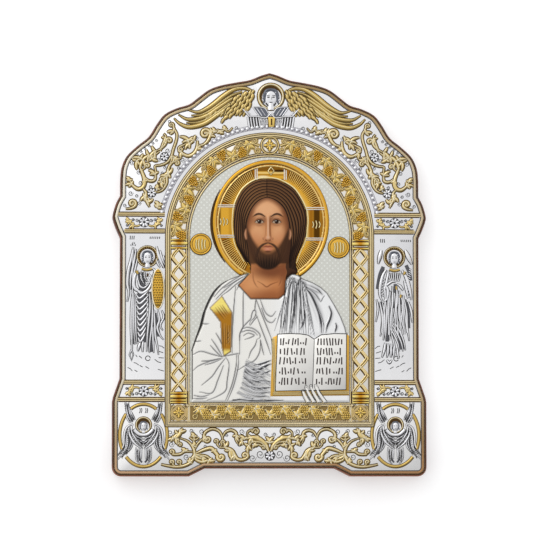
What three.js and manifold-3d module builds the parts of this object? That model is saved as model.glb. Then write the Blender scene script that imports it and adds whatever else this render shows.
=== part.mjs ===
// Icon panel, lying on its back with its face up. A scalloped wooden board, shaped like a small
// shrine on two feet, carries a pressed silver surround, a gilt arch frame with columns and a sill,
// a pressed silver picture of a blessing half figure with an open book, and its painted head.
// Millimetres. X runs across the panel, Y up the panel towards its crown, Z out of its face.
// The origin is under the middle of the panel, on the surface that the board's back lies on.
import * as THREE from "three";
import { mergeVertices } from "three/addons/utils/BufferGeometryUtils.js";
import Module from "manifold-3d";

const wasm = await Module();
wasm.setup();

// The board.
const PANEL_WIDTH = 251.6; // across the two plinth blocks
const PANEL_HEIGHT = 323.6; // from the feet to the top of the crown
const BOARD_THICKNESS = 14;
const BOARD_EDGE_ROUND = 2.2; // rounding of the board's front edge
const SHAFT_SETBACK = 6; // how far the straight sides stand in from the plinth blocks
const CROWN_RISE = 86.7; // from the end of the straight side to the top
const SHOULDER_HEIGHT = 46.4; // of the bulge at each capital, along the side
const PLINTH_CORNER = 7.5;
const PLINTH_TOP = 59.3; // where the block's side starts to slant in, above the feet
const PLINTH_SLANT = 18.8;
const FOOT_DROP = 6.3; // how far the feet reach below the bottom edge between them
const FOOT_LENGTH = 61.4;
const FOOT_SLANT = 12.4;

// The silver surround.
const BOARD_REVEAL = 1.6; // bare wood left round the silver
const SHEET = 1.2; // thickness of the flat sheet
const BEAD_WIDTH = 2.6; // gilt bead along the sheet's edge, and the cross bars
const BEAD_HEIGHT = 1;
const SINK = 0.3; // how deep raised work is rooted in its sheet
const FIT_GAP = 0.3; // between neighbouring pressings
const CAPITAL_BAR = 17.6; // cross bar under the crown's scrolls, above the spring of the arch
const NECK_BAR = 4.2; // cross bar under the capital's strip, above the spring
const BASE_BAR = 75; // cross bar under the angel, above the feet
const PLINTH_BAR = 61.3; // cross bar over the seraph, above the feet

// The arch frame.
const FRAME_WIDTH = 167; // over its outer moulding
const FRAME_TOP = 48.5; // from the top of the crown down to the top of the arch frame
const FRAME_BOTTOM = 39.4; // above the feet
const FRAME_BAND = 19.7; // width of the whole band, in from its outer edge
const OUTER_MOULDING = 3.8;
const INNER_MOULDING = 2.4;
const FRAME_FIELD = 1.8; // height of the band's field
const FRAME_LIP = 3.6; // height of the outer moulding
const CORNER_BLOCK = 17; // height of the square block under each column
const COLUMN_BAND = 8; // height of the ribbed band at each end of a column
const CROSSINGS = 8; // of the two strips that wind round a column
const PEARL = 2.7; // diameter
const PEARL_PITCH = 4;
const PEARL_OFFSET = 5; // from the frame's edge to the pearls' centres

// The figures, each drawn in shares of its own height or width.
const ANGEL_HEIGHT = 92;
const SERAPH_HEIGHT = 50;
const CHERUB_SPAN = 158;
const HALO_WIDTH = 93.6;
const HALO_HEIGHT = 100.6;
const HEAD_HEIGHT = 71.2; // the hair, from its crown to the shoulders
const HEAD_WIDTH = 59.4;
const HEAD_RISE = 11.1; // of the middle of the hair above the spring of the arch
const BOOK_WIDTH = 62;
const BOOK_HEIGHT = 49;
const MEDALLION = 17.4; // diameter
const MEDALLION_DROP = 7.2; // below the spring of the arch
const BOOK_FOOT = 4.5; // above the foot of the picture
const FIGURE_RELIEF = 2.6; // height of the robe above its sheet
const BOOK_RELIEF = 4.2;
const HEAD_RELIEF = 6.4;

const ARC_STEPS = 24; // sides of the arch

// Places worked out from those sizes.
const top = PANEL_HEIGHT / 2;
const feet = -top;
const footHalf = PANEL_WIDTH / 2;
const shaftHalf = footHalf - SHAFT_SETBACK;
const crownFoot = top - CROWN_RISE;
const frameHalf = FRAME_WIDTH / 2;
const frameFoot = feet + FRAME_BOTTOM;
const springY = top - FRAME_TOP - frameHalf;
const pictureHalf = frameHalf - FRAME_BAND;
const pictureFoot = frameFoot + FRAME_BAND;
const columnX = frameHalf - (OUTER_MOULDING + FRAME_BAND - INNER_MOULDING) / 2;
const columnWidth = FRAME_BAND - OUTER_MOULDING - INNER_MOULDING;
const boardTop = BOARD_THICKNESS;
const sheetTop = boardTop + SHEET;
const frameField = boardTop + FRAME_FIELD;
const capitalBar = springY + CAPITAL_BAR;
const neckBar = springY + NECK_BAR;
const baseBar = feet + BASE_BAR;
const plinthBar = feet + PLINTH_BAR;
const bayLeft = frameHalf;
const bayRight = shaftHalf - BOARD_REVEAL - BEAD_WIDTH;
const bayX = (bayLeft + bayRight) / 2;
const headY = springY + HEAD_RISE;

// One closed body from positions and triangles, with its faces turned outwards.
function body(positions, triangles) {
  const geometry = new THREE.BufferGeometry();
  geometry.setAttribute("position", new THREE.Float32BufferAttribute(positions, 3));
  geometry.setIndex(triangles);
  const merged = mergeVertices(geometry, 1e-4);
  const index = merged.index.array;
  const kept = [];
  for (let i = 0; i < index.length; i += 3) {
    const [a, b, c] = [index[i], index[i + 1], index[i + 2]];
    if (a !== b && b !== c && a !== c) kept.push(a, b, c);
  }
  const make = (triVerts) =>
    new wasm.Manifold(
      new wasm.Mesh({
        numProp: 3,
        vertProperties: merged.attributes.position.array,
        triVerts: new Uint32Array(triVerts),
      }),
    );
  const made = make(kept);
  if (made.volume() > 0) return made;
  const turned = [];
  for (let i = 0; i < kept.length; i += 3) turned.push(kept[i], kept[i + 2], kept[i + 1]);
  return make(turned);
}

const join = (solids) => wasm.Manifold.union(solids);
const at = (x, y) => new THREE.Vector2(x, y);

// A closed outline moved in by a distance, or out by a negative one.
function inset(outline, distance) {
  const turn = THREE.ShapeUtils.isClockWise(outline) ? -1 : 1;
  return outline.map((point, i) => {
    const before = outline[(i + outline.length - 1) % outline.length];
    const after = outline[(i + 1) % outline.length];
    const a = point.clone().sub(before).normalize();
    const b = after.clone().sub(point).normalize();
    const normal = at(-a.y - b.y, a.x + b.x).multiplyScalar(turn / (1 + a.dot(b)));
    return point.clone().add(normal.multiplyScalar(distance));
  });
}

// A solid that stands on an outline. Each level is [how far in, height].
function stack(outline, levels) {
  const points = THREE.ShapeUtils.isClockWise(outline) ? [...outline].reverse() : outline;
  const n = points.length;
  const positions = [];
  const triangles = [];
  for (const [distance, z] of levels)
    for (const p of inset(points, distance)) positions.push(p.x, p.y, z);
  for (let level = 0; level + 1 < levels.length; level++)
    for (let i = 0; i < n; i++) {
      const [a, b] = [level * n + i, level * n + ((i + 1) % n)];
      triangles.push(a, b, b + n, a, b + n, a + n);
    }
  const last = (levels.length - 1) * n;
  for (const [a, b, c] of THREE.ShapeUtils.triangulateShape(points, []))
    triangles.push(c, b, a, last + a, last + b, last + c);
  return body(positions, triangles);
}

// A moulding that follows a closed outline. Its profile is a closed list of [how far in, height].
function hoop(outline, profile) {
  const n = outline.length;
  const m = profile.length;
  const rings = profile.map(([distance]) => inset(outline, distance));
  const positions = [];
  const triangles = [];
  for (let i = 0; i < n; i++)
    for (let j = 0; j < m; j++) positions.push(rings[j][i].x, rings[j][i].y, profile[j][1]);
  for (let i = 0; i < n; i++)
    for (let j = 0; j < m; j++) {
      const [a, b] = [i * m + j, i * m + ((j + 1) % m)];
      const [c, d] = [((i + 1) % n) * m + j, ((i + 1) % n) * m + ((j + 1) % m)];
      triangles.push(a, b, d, a, d, c);
    }
  return body(positions, triangles);
}

// Width of a blade along its length, from 0 at its start to 1 at its end.
const even = () => 1;
const leaf = (t) => 0.12 + 0.88 * Math.sin(Math.PI * Math.min(1, 0.08 + 0.92 * t)) ** 0.8;

// A ridge with a crest along a line of points: a stem, a feather, a fold or a bar.
function blade(points, width, height, z, shape = even) {
  const last = points.length - 1;
  const positions = [];
  const triangles = [];
  points.forEach((point, i) => {
    const along = points[Math.min(last, i + 1)].clone().sub(points[Math.max(0, i - 1)]).normalize();
    const share = Math.max(0.1, shape(i / last));
    const side = at(-along.y, along.x).multiplyScalar((width / 2) * share);
    positions.push(point.x + side.x, point.y + side.y, z - SINK);
    positions.push(point.x, point.y, z + height * Math.min(1, share + 0.3));
    positions.push(point.x - side.x, point.y - side.y, z - SINK);
  });
  for (let i = 0; i < last; i++)
    for (let j = 0; j < 3; j++) {
      const [a, b] = [i * 3 + j, i * 3 + ((j + 1) % 3)];
      triangles.push(a, b, b + 3, a, b + 3, a + 3);
    }
  const end = last * 3;
  triangles.push(0, 2, 1, end, end + 1, end + 2);
  return body(positions, triangles);
}

const line = (...pairs) => pairs.map(([x, y]) => at(x, y));
const smooth = (steps, ...pairs) => new THREE.SplineCurve(line(...pairs)).getPoints(steps);

function ellipse(x, y, rx, ry, sides) {
  return new THREE.EllipseCurve(x, y, rx, ry, 0, 2 * Math.PI)
    .getPoints(sides)
    .slice(0, sides);
}

// A low boss on a flat ground.
function boss(x, y, rx, ry, height, z, sides = 6) {
  const rim = Math.min(rx, ry);
  return stack(ellipse(x, y, rx, ry, sides), [
    [0, z - SINK],
    [0.22 * rim, z + 0.62 * height],
    [0.66 * rim, z + height],
  ]);
}

// A facet-cut peak on an outline: a pearl, a leaf, a lozenge or a short stroke.
function peak(points, height, z) {
  const n = points.length;
  const middle = points.reduce((sum, p) => sum.add(p), at(0, 0)).divideScalar(n);
  const positions = points.flatMap((p) => [p.x, p.y, z - SINK]);
  positions.push(middle.x, middle.y, z + height);
  const triangles = [];
  for (let i = 0; i < n; i++) triangles.push(i, (i + 1) % n, n);
  for (let i = 1; i + 1 < n; i++) triangles.push(0, i + 1, i);
  return body(positions, triangles);
}

// The four corners of a lozenge about a point, long along one direction.
function lozenge(x, y, long, short, direction = 0) {
  const along = at(Math.cos(direction), Math.sin(direction));
  const across = at(-along.y, along.x);
  return [
    at(x, y).addScaledVector(along, long / 2),
    at(x, y).addScaledVector(across, short / 2),
    at(x, y).addScaledVector(along, -long / 2),
    at(x, y).addScaledVector(across, -short / 2),
  ];
}

// A rounded ring.
function ring(x, y, rx, ry, width, height, z, sides) {
  return hoop(ellipse(x, y, rx, ry, sides), [
    [0, z - SINK],
    [width / 2, z + height],
    [width, z - SINK],
  ]);
}

// A scroll: a stem that winds in to its eye. A negative turn winds clockwise.
function scroll(side, x, y, radius, start, turns, width, z) {
  const steps = 6;
  const points = [];
  for (let i = 0; i <= steps; i++) {
    const share = i / steps;
    const angle = (start + 360 * turns * share) * (Math.PI / 180);
    const reach = radius * (1 - 0.72 * share);
    points.push(at(side * (x + reach * Math.cos(angle)), y + reach * Math.sin(angle)));
  }
  return blade(points, width, BEAD_HEIGHT, z, (t) => 0.65 + 0.35 * Math.sin(Math.PI * t));
}

// The panel's outline. The crown is one smooth line of lobes, in shares of its half width and rise.
function panelOutline() {
  const crown = [
    [0, 1], [0.057, 0.977], [0.134, 0.934], [0.222, 0.912], [0.326, 0.883], [0.407, 0.841],
    [0.487, 0.758], [0.541, 0.703], [0.622, 0.668], [0.703, 0.61], [0.756, 0.518], [0.81, 0.4],
    [0.881, 0.32], [0.956, 0.22], [0.991, 0.11], [1, 0],
  ].map(([x, y]) => at(x * shaftHalf, crownFoot + y * CROWN_RISE));
  const shoulderTop = crownFoot - 12.8;
  const shoulderFoot = crownFoot - SHOULDER_HEIGHT;
  const bulge = [
    [0, 1], [0.55, 0.81], [0.96, 0.56], [0.96, 0.44], [0.55, 0.22], [0, 0],
  ].map(([x, y]) => at(
    shaftHalf + x * SHAFT_SETBACK,
    shoulderFoot + y * (shoulderTop - shoulderFoot),
  ));
  const corner = new THREE.EllipseCurve(
    footHalf - PLINTH_CORNER, feet + PLINTH_CORNER, PLINTH_CORNER, PLINTH_CORNER, 0, -Math.PI / 2, true,
  );
  const half = [
    ...new THREE.SplineCurve(crown).getPoints(22),
    ...new THREE.SplineCurve(bulge).getPoints(8),
    at(shaftHalf, feet + PLINTH_TOP + PLINTH_SLANT),
    at(footHalf - 1, feet + PLINTH_TOP + 4),
    at(footHalf, feet + PLINTH_TOP),
    ...corner.getPoints(3),
    at(footHalf - FOOT_LENGTH, feet),
    at(footHalf - FOOT_LENGTH - FOOT_SLANT, feet + FOOT_DROP),
  ];
  const other = half.slice(1).reverse().map((p) => at(-p.x, p.y));
  return [...half, ...other];
}

// A round-headed opening or frame that is moved in from the arch frame's outer edge.
function archOutline(distance) {
  const half = frameHalf - distance;
  const arc = new THREE.EllipseCurve(0, springY, half, half, 0, Math.PI);
  return [at(-half, frameFoot + distance), at(half, frameFoot + distance), ...arc.getPoints(ARC_STEPS)];
}

const panel = panelOutline();

function backingBoard() {
  return stack(panel, [
    [0, 0],
    [0, boardTop - BOARD_EDGE_ROUND],
    [BOARD_REVEAL - 0.1, boardTop],
  ]);
}

// The gilt bars that part the surround into its fields, on one side of the panel.
function crossBars(side) {
  const bar = (y, outer) =>
    blade(line([side * (bayLeft + 1), y], [side * outer, y]), BEAD_WIDTH, BEAD_HEIGHT, sheetTop);
  const bay = bayRight + 1;
  const wide = bay + SHAFT_SETBACK;
  return [bar(capitalBar, wide), bar(neckBar, bay + 0.5), bar(baseBar, bay + 0.5), bar(plinthBar, wide)];
}

// A standing angel with a halo, wings and a robe that falls in folds.
function angel(side) {
  const h = ANGEL_HEIGHT;
  const foot = baseBar + 0.19 * h;
  const x = (share) => side * (bayX + share * h);
  const y = (share) => foot + share * h;
  const fold = (z, ...pairs) =>
    blade(line(...pairs.map(([a, b]) => [x(a), y(b)])), 0.065 * h, 1.4, z, leaf);
  const chest = sheetTop + 1.2;
  const robe = line(
    [x(-0.13), y(0.7)], [x(-0.12), y(0.3)], [x(-0.13), y(0)], [x(0.12), y(0)], [x(0.12), y(0.3)],
    [x(0.13), y(0.7)], [x(0), y(0.79)],
  );
  return [
    stack(ellipse(x(0), y(0.86), 0.095 * h, 0.095 * h, 10), [[0, sheetTop - SINK], [0.5, sheetTop + 0.6]]),
    boss(x(0), y(0.85), 0.055 * h, 0.062 * h, 2, sheetTop),
    stack(robe, [[0, sheetTop - SINK], [0.03 * h, chest]]),
    fold(chest, [-0.06, 0.6], [-0.065, 0.04]),
    fold(chest, [0.055, 0.6], [0.055, 0.04]),
    fold(sheetTop, [0.1, 0.74], [0.165, 0.9], [0.17, 0.24]),
    fold(sheetTop, [-0.1, 0.74], [-0.165, 0.9], [-0.17, 0.24]),
  ];
}

// A seraph in an oval: two wings raised, two spread down and two folded over the body.
function seraph(side) {
  const h = SERAPH_HEIGHT;
  const middle = (plinthBar + feet) / 2 + 0.04 * h;
  const x = (share) => side * (bayX + SHAFT_SETBACK / 2 + share * h);
  const y = (share) => middle + share * h;
  const wing = (width, ...pairs) =>
    blade(line(...pairs.map(([a, b]) => [x(a), y(b)])), width * h, 1.5, sheetTop + 0.2, leaf);
  const solids = [
    ring(x(0), y(0), 0.38 * h, 0.5 * h, 0.05 * h, 0.8, sheetTop, 12),
    stack(ellipse(x(0), y(0.16), 0.13 * h, 0.13 * h, 8), [[0, sheetTop - SINK], [0.5, sheetTop + 0.7]]),
    boss(x(0), y(0.13), 0.065 * h, 0.08 * h, 2, sheetTop),
  ];
  for (const hand of [-1, 1])
    solids.push(
      wing(0.11, [hand * 0.12, 0.05], [hand * 0.27, 0.24], [hand * 0.29, 0.5]),
      wing(0.17, [hand * 0.12, 0.05], [hand * 0.3, -0.12], [hand * 0.36, -0.42]),
      wing(0.14, [hand * 0.05, 0.03], [hand * 0.07, -0.45]),
    );
  return solids;
}

// The winged head at the top of the crown, with a gathered cloth below it.
function cherub() {
  const w = CHERUB_SPAN;
  const x = (share) => share * w;
  const y = (share) => top + share * w;
  const solids = [
    ring(0, y(-0.125), 0.066 * w, 0.075 * w, 0.02 * w, 1.3, sheetTop, 12),
    boss(0, y(-0.13), 0.034 * w, 0.042 * w, 2.6, sheetTop, 8),
  ];
  const feathers = [
    [[0.13, -0.1], [0.33, -0.185], [0.43, -0.235]],
    [[0.13, -0.13], [0.36, -0.235], [0.475, -0.27]],
    [[0.13, -0.16], [0.35, -0.27], [0.49, -0.3]],
    [[0.1, -0.12], [0.2, -0.245]],
    [[0.12, -0.11], [0.26, -0.26]],
  ];
  for (const side of [-1, 1]) {
    for (const feather of feathers) {
      const spine = feather.map(([out, down]) => at(side * x(out), y(down)));
      solids.push(blade(spine, 0.042 * w, 1.6, sheetTop, leaf));
    }
    for (const out of [0.02, 0.055, 0.09]) {
      const flute = line([side * x(out), y(-0.21)], [side * x(out + 0.014), y(-0.33)]);
      solids.push(blade(flute, 0.028 * w, 1.2, sheetTop));
    }
  }
  return solids;
}

// The scrolls of the crown's spandrel and of the field under the sill, on one side.
function scrolls(side) {
  const solids = [];
  const spandrel = [[30, 0.3, 5.5], [43, 0.42, 7.5], [57, 0.5, 8], [71, 0.55, 8]];
  spandrel.forEach(([degrees, out, radius], i) => {
    const angle = degrees * (Math.PI / 180);
    const reach = frameHalf + PEARL_OFFSET + 4 + out * (shaftHalf - frameHalf);
    const [x, y] = [reach * Math.sin(angle), springY + reach * Math.cos(angle)];
    solids.push(scroll(side, x, y, radius, 250 - 40 * i, i % 2 ? 1.05 : -1.05, 2.2, sheetTop));
  });
  const middle = (feet + FOOT_DROP + frameFoot) / 2;
  const wide = (frameHalf + 2) / 4;
  for (let i = 0; i < 4; i++) {
    const hand = i % 2 ? 1 : -1;
    const x = (i + 0.55) * wide;
    solids.push(scroll(side, x, middle + hand * 1.5, 0.4 * wide, 180, 1.05 * hand, 2, sheetTop));
  }
  return solids;
}

// The row of pearls round the outside of the arch.
function pearls() {
  const radius = frameHalf + PEARL_OFFSET;
  const lowest = Math.asin((capitalBar + BEAD_WIDTH + PEARL / 2 - springY) / radius);
  const count = Math.floor(((Math.PI - 2 * lowest) * radius) / PEARL_PITCH);
  const solids = [];
  for (let i = 0; i <= count; i++) {
    const angle = lowest + ((Math.PI - 2 * lowest) * i) / count;
    const [x, y] = [radius * Math.cos(angle), springY + radius * Math.sin(angle)];
    solids.push(peak(lozenge(x, y, PEARL, PEARL, angle), 1.4, sheetTop));
  }
  return solids;
}

function silverSurround() {
  const edge = inset(panel, BOARD_REVEAL);
  const sheet = stack(edge, [[0, boardTop], [0, sheetTop]]);
  const bead = hoop(edge, [
    [0.05, sheetTop - SINK],
    [BEAD_WIDTH / 2, sheetTop + BEAD_HEIGHT],
    [BEAD_WIDTH, sheetTop - SINK],
  ]);
  const raised = [sheet, bead, ...pearls(), ...cherub()];
  for (const side of [-1, 1])
    raised.push(...crossBars(side), ...angel(side), ...seraph(side), ...scrolls(side));
  const opening = stack(archOutline(-FIT_GAP), [[0, boardTop - 1], [0, boardTop + 20]]);
  return join(raised).subtract(opening);
}

// Two strips that wind round a column and cross each other, and the column's ribbed ends.
function column(side) {
  const head = springY - 1.8;
  const foot = frameFoot + OUTER_MOULDING + CORNER_BLOCK;
  const solids = [];
  const low = foot + COLUMN_BAND;
  const rise = (head - COLUMN_BAND - low) / CROSSINGS;
  for (const hand of [-1, 1]) {
    const points = [];
    for (let i = 0; i <= 2 * CROSSINGS; i++) {
      const swing = hand * [0, 1, 0, -1][i % 4] * 0.38 * columnWidth;
      if (i % 2 || i === 0 || i === 2 * CROSSINGS)
        points.push(at(side * columnX + swing, low + (rise * i) / 2));
    }
    solids.push(blade(points, 2.6, 1.2, frameField));
  }
  const across = (y, width) => {
    const [inner, outer] = [side * columnX - columnWidth / 2, side * columnX + columnWidth / 2];
    solids.push(blade(line([inner, y], [outer, y]), width, 1.5, frameField));
  };
  for (const y of [head - COLUMN_BAND, foot]) {
    across(y + 0.5 * COLUMN_BAND, 4.4);
    across(y + 0.1 * COLUMN_BAND, 1.8);
    across(y + 0.9 * COLUMN_BAND, 1.8);
  }
  const blockY = frameFoot + OUTER_MOULDING + CORNER_BLOCK / 2;
  solids.push(peak(lozenge(side * columnX, blockY, 11, 3), 1.2, frameField));
  solids.push(peak(lozenge(side * columnX, blockY, 3, 11), 1.2, frameField));
  return solids;
}

// A winding stem with a leaf in each bend. The place it follows is given by a function of
// [share of its length, distance to one side].
function vine(place, bends, swing) {
  const stem = [];
  for (let i = 0; i <= bends; i++) stem.push(place(i / bends, i % 2 ? swing : -swing));
  const solids = [blade(stem, 1.6, 0.8, frameField)];
  for (let i = 0; i < bends; i++) {
    const hand = i % 2 ? -1 : 1;
    const leafAt = (along, out) => place((i + 0.5 + along) / bends, hand * out * swing);
    const outline = [leafAt(-0.4, 1.2), leafAt(0, 0.35), leafAt(0.4, 1.2), leafAt(0, 1.5)];
    solids.push(peak(outline, 1.4, frameField));
  }
  return solids;
}

function archFrame() {
  const inner = FRAME_BAND - INNER_MOULDING;
  const lip = boardTop + FRAME_LIP;
  const frame = hoop(archOutline(0), [
    [0, boardTop],
    [0, lip - 0.8],
    [0.5 * OUTER_MOULDING, lip],
    [OUTER_MOULDING, frameField],
    [inner, frameField],
    [inner + 0.5 * INNER_MOULDING, frameField + 0.8],
    [FRAME_BAND, boardTop],
  ]);
  const middle = (OUTER_MOULDING + inner) / 2;
  const radius = frameHalf - middle;
  const onArch = (side) => (share, out) => {
    const angle = Math.PI / 2 - 0.1 - 1.42 * share;
    const reach = radius + out;
    return at(side * reach * Math.cos(angle), springY + reach * Math.sin(angle));
  };
  const sillHalf = pictureHalf - 2;
  const onSill = (share, out) => at(-sillHalf + 2 * sillHalf * share, frameFoot + middle + out);
  const raised = [
    frame,
    ring(0, springY + radius, 0.46 * columnWidth, 0.46 * columnWidth, 1.8, 1, frameField, 10),
    peak(lozenge(0, springY + radius, 8, 2.6), 1.2, frameField),
    peak(lozenge(0, springY + radius, 2.6, 8), 1.2, frameField),
    ...vine(onSill, 14, 3.2),
  ];
  for (const side of [-1, 1]) raised.push(...column(side), ...vine(onArch(side), 9, 3.2));
  return join(raised);
}

// The blank of the painted head: the hair, fuller below than above, and the neck to the collar.
function headBlank(clearance, low, high) {
  const k = HEAD_HEIGHT;
  const hair = [];
  const sides = 26;
  for (let i = 0; i < sides; i++) {
    const [c, d] = [Math.cos((2 * Math.PI * i) / sides), Math.sin((2 * Math.PI * i) / sides)];
    const power = d < 0 ? 2 / 2.6 : 1;
    hair.push(at(
      Math.sign(c) * (HEAD_WIDTH / 2) * Math.abs(c) ** power,
      headY + Math.sign(d) * (k / 2) * Math.abs(d) ** power,
    ));
  }
  const neck = [
    [-0.28, -0.36], [-0.21, -0.6], [-0.345, -0.72], [-0.21, -0.865], [0.11, -0.865], [0.155, -0.8],
    [0.2, -0.605], [0.315, -0.565], [0.3, -0.36],
  ].map(([x, y]) => at(x * k, headY + y * k));
  return join([
    stack(inset(hair, -clearance), [[0, low], [0, high]]),
    stack(inset(neck.reverse(), -clearance), [[0, low], [0, high]]),
  ]);
}

function paintedHead() {
  const k = HEAD_HEIGHT;
  const ground = sheetTop + 0.45 * HEAD_RELIEF;
  const lift = sheetTop + HEAD_RELIEF - ground;
  const spot = (x, y) => [x * k, headY + y * k];
  const face = ground + 0.75 * lift;
  const ridge = (width, height, z, ...pairs) =>
    blade(line(...pairs.map(([x, y]) => spot(x, y))), width * k, height * lift, z, leaf);
  const solids = [
    headBlank(0, boardTop, ground),
    stack(ellipse(...spot(0, -0.12), 0.25 * k, 0.4 * k, 14), [
      [0, ground - SINK],
      [0.04 * k, ground + 0.5 * lift],
      [0.1 * k, face],
    ]),
    ridge(0.1, 0.25, face, [0, 0.03], [0, -0.22]),
    ridge(0.06, 0.15, face, [-0.12, -0.33], [0, -0.28], [0.12, -0.33]),
    ridge(0.2, 0.2, face - 0.3, [0, -0.35], [0, -0.5]),
  ];
  for (const hand of [-1, 1]) {
    solids.push(ridge(0.06, 0.15, face, [hand * 0.19, 0.02], [hand * 0.05, 0.03]));
    for (const [wide, drop] of [[0.28, -0.36], [0.38, -0.28]])
      solids.push(
        ridge(
          0.09, 0.6, ground, [0, 0.32 + wide / 3], [hand * 0.72 * wide, 0.24 + wide / 4],
          [hand * wide, -0.04], [hand * 0.86 * wide, drop],
        ),
      );
  }
  return join(solids);
}

// The halo: a rimmed oval with three smooth arms between ribbed quarters.
function halo() {
  const [x, y] = [0.6, headY - 0.6];
  const [rx, ry] = [HALO_WIDTH / 2, HALO_HEIGHT / 2];
  const rim = 0.068 * HALO_WIDTH;
  const z = sheetTop;
  const solids = [
    hoop(ellipse(x, y, rx, ry, 26), [
      [0, z - SINK],
      [0.4 * rim, z + 2],
      [rim, z + 0.8],
      [0.4 * HALO_WIDTH, z - SINK],
    ]),
  ];
  const ribs = 4;
  for (const [from, to] of [[-40, -14], [14, 73], [107, 166], [194, 220]])
    for (let i = 0; i <= ribs; i++) {
      const angle = (from + ((to - from) * i) / ribs) * (Math.PI / 180);
      const spoke = (share) => [x + share * rx * Math.cos(angle), y + share * ry * Math.sin(angle)];
      const reach = 0.32 * rx;
      if (i % ribs) solids.push(peak(lozenge(...spoke(0.76), reach, 1.8, angle), 1.1, z + 0.4));
      else solids.push(blade(line(spoke(0.62), spoke(0.92)), 2.4, 1.5, z + 0.3));
    }
  return solids;
}

// A coin-like disc with a raised rim and a lozenge on it.
function medallion(side) {
  const x = side * (pictureHalf - 0.5 * MEDALLION);
  const y = springY - MEDALLION_DROP;
  return [
    ring(x, y, MEDALLION / 2, MEDALLION / 2, 2.2, 1.3, sheetTop, 12),
    peak(lozenge(x, y, 5, 8), 1.2, sheetTop),
  ];
}

// The open book: a gilt block under two swelling pages, with rows of shallow strokes.
function book() {
  const left = pictureHalf - 0.4 - BOOK_WIDTH;
  const foot = pictureFoot + BOOK_FOOT;
  const z = sheetTop + BOOK_RELIEF;
  const block = line(
    [left, foot], [left + BOOK_WIDTH, foot], [left + BOOK_WIDTH, foot + BOOK_HEIGHT],
    [left + 0.57 * BOOK_WIDTH, foot + 0.97 * BOOK_HEIGHT], [left + 0.12 * BOOK_WIDTH, foot + BOOK_HEIGHT],
    [left + 0.02 * BOOK_WIDTH, foot + 0.95 * BOOK_HEIGHT],
  );
  const solids = [stack(block, [[0, sheetTop - SINK], [0, z - 0.9], [0.7, z - 0.5]])];
  const rows = 5;
  for (const [from, to] of [[0.06, 0.55], [0.58, 0.97]]) {
    const [a, b] = [left + from * BOOK_WIDTH, left + to * BOOK_WIDTH];
    const head = foot + 0.96 * BOOK_HEIGHT;
    const page = line([a, foot + 4], [b, foot + 4], [b, head], [a, head]);
    solids.push(stack(page, [[0, z - 0.6], [1.2, z]]));
    for (let row = 0; row < rows; row++) {
      const y = foot + (0.84 - 0.165 * row) * BOOK_HEIGHT;
      solids.push(blade(line([a + 4, y], [b - 3.5, y]), 2.6, 0.35, z));
    }
  }
  return solids;
}

// The figure's robe: the mass of it, the mantle's folds, the sleeve, the gold band and both hands.
function robe() {
  const h = headY - pictureFoot;
  const x = (share) => share * h;
  const y = (share) => pictureFoot + share * h;
  const z = sheetTop + FIGURE_RELIEF;
  const right = (pictureHalf - 1) / h;
  const outline = [
    ...smooth(
      8, [-0.1, 0.76], [-0.25, 0.66], [-0.345, 0.57], [-0.39, 0.48], [-0.43, 0.36], [-0.434, 0.27],
    ),
    [-0.434, 0.012], [right, 0.012], [right, 0.36],
    ...smooth(5, [0.42, 0.38], [0.36, 0.53], [0.28, 0.63], [0.17, 0.7]),
    [0.1, 0.7],
  ].map((p) => (Array.isArray(p) ? at(x(p[0]), y(p[1])) : at(x(p.x), y(p.y))));
  const fold = (width, height, ...pairs) =>
    blade(line(...pairs.map(([a, b]) => [x(a), y(b)])), width * h, height, z, leaf);
  const solids = [stack(outline, [[0, sheetTop - SINK], [0.9, z - 0.9], [2.6, z]])];
  solids.push(
    fold(0.045, 1.8, [0.19, 0.68], [0.15, 0.54], [0.13, 0.38]),
    fold(0.05, 1.8, [0.2, 0.68], [0.21, 0.54], [0.19, 0.38]),
    fold(0.05, 1.8, [0.21, 0.68], [0.26, 0.55], [0.27, 0.38]),
    fold(0.045, 1.5, [0.23, 0.66], [0.33, 0.54], [0.34, 0.38]),
    fold(0.04, 1.2, [0.26, 0.64], [0.38, 0.5], [0.41, 0.38]),
    fold(0.05, 1.4, [-0.14, 0.72], [-0.27, 0.62], [-0.36, 0.5]),
    fold(0.085, 1, [-0.32, 0.55], [-0.25, 0.44], [-0.25, 0.26]),
    fold(0.03, 0.9, [-0.26, 0.24], [-0.33, 0.15], [-0.38, 0.06]),
    fold(0.03, 0.9, [-0.24, 0.24], [-0.27, 0.13], [-0.31, 0.03]),
    fold(0.04, 1.1, [-0.22, 0.26], [-0.19, 0.14], [-0.22, 0.02]),
  );
  for (let i = 0; i < 4; i++)
    solids.push(fold(0.03, 1, [-0.13, 0.2 - 0.04 * i], [-0.06, 0.17 - 0.045 * i], [0.02, 0.15 - 0.04 * i]));
  const finger = (...pairs) => fold(0.026, 1.6, ...pairs);
  solids.push(
    boss(x(-0.1), y(0.31), 0.06 * h, 0.09 * h, 1.6, z, 8),
    blade(line([x(-0.12), y(0.22)], [x(-0.15), y(0.04)]), 0.11 * h, 1.4, z),
    finger([-0.14, 0.37], [-0.1, 0.44], [-0.075, 0.5]),
    finger([-0.12, 0.38], [-0.08, 0.43], [-0.06, 0.46]),
    finger([-0.12, 0.36], [-0.08, 0.38], [-0.045, 0.37]),
  );
  const clasp = [0, 1, 2, 3].map((i) =>
    blade(
      line([x(0.19 + 0.028 * i), y(0.105)], [x(0.23 + 0.028 * i), y(0.0)]),
      0.03 * h, 1.3, sheetTop + BOOK_RELIEF - 0.6, leaf,
    ),
  );
  return [...solids, ...clasp];
}

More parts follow.
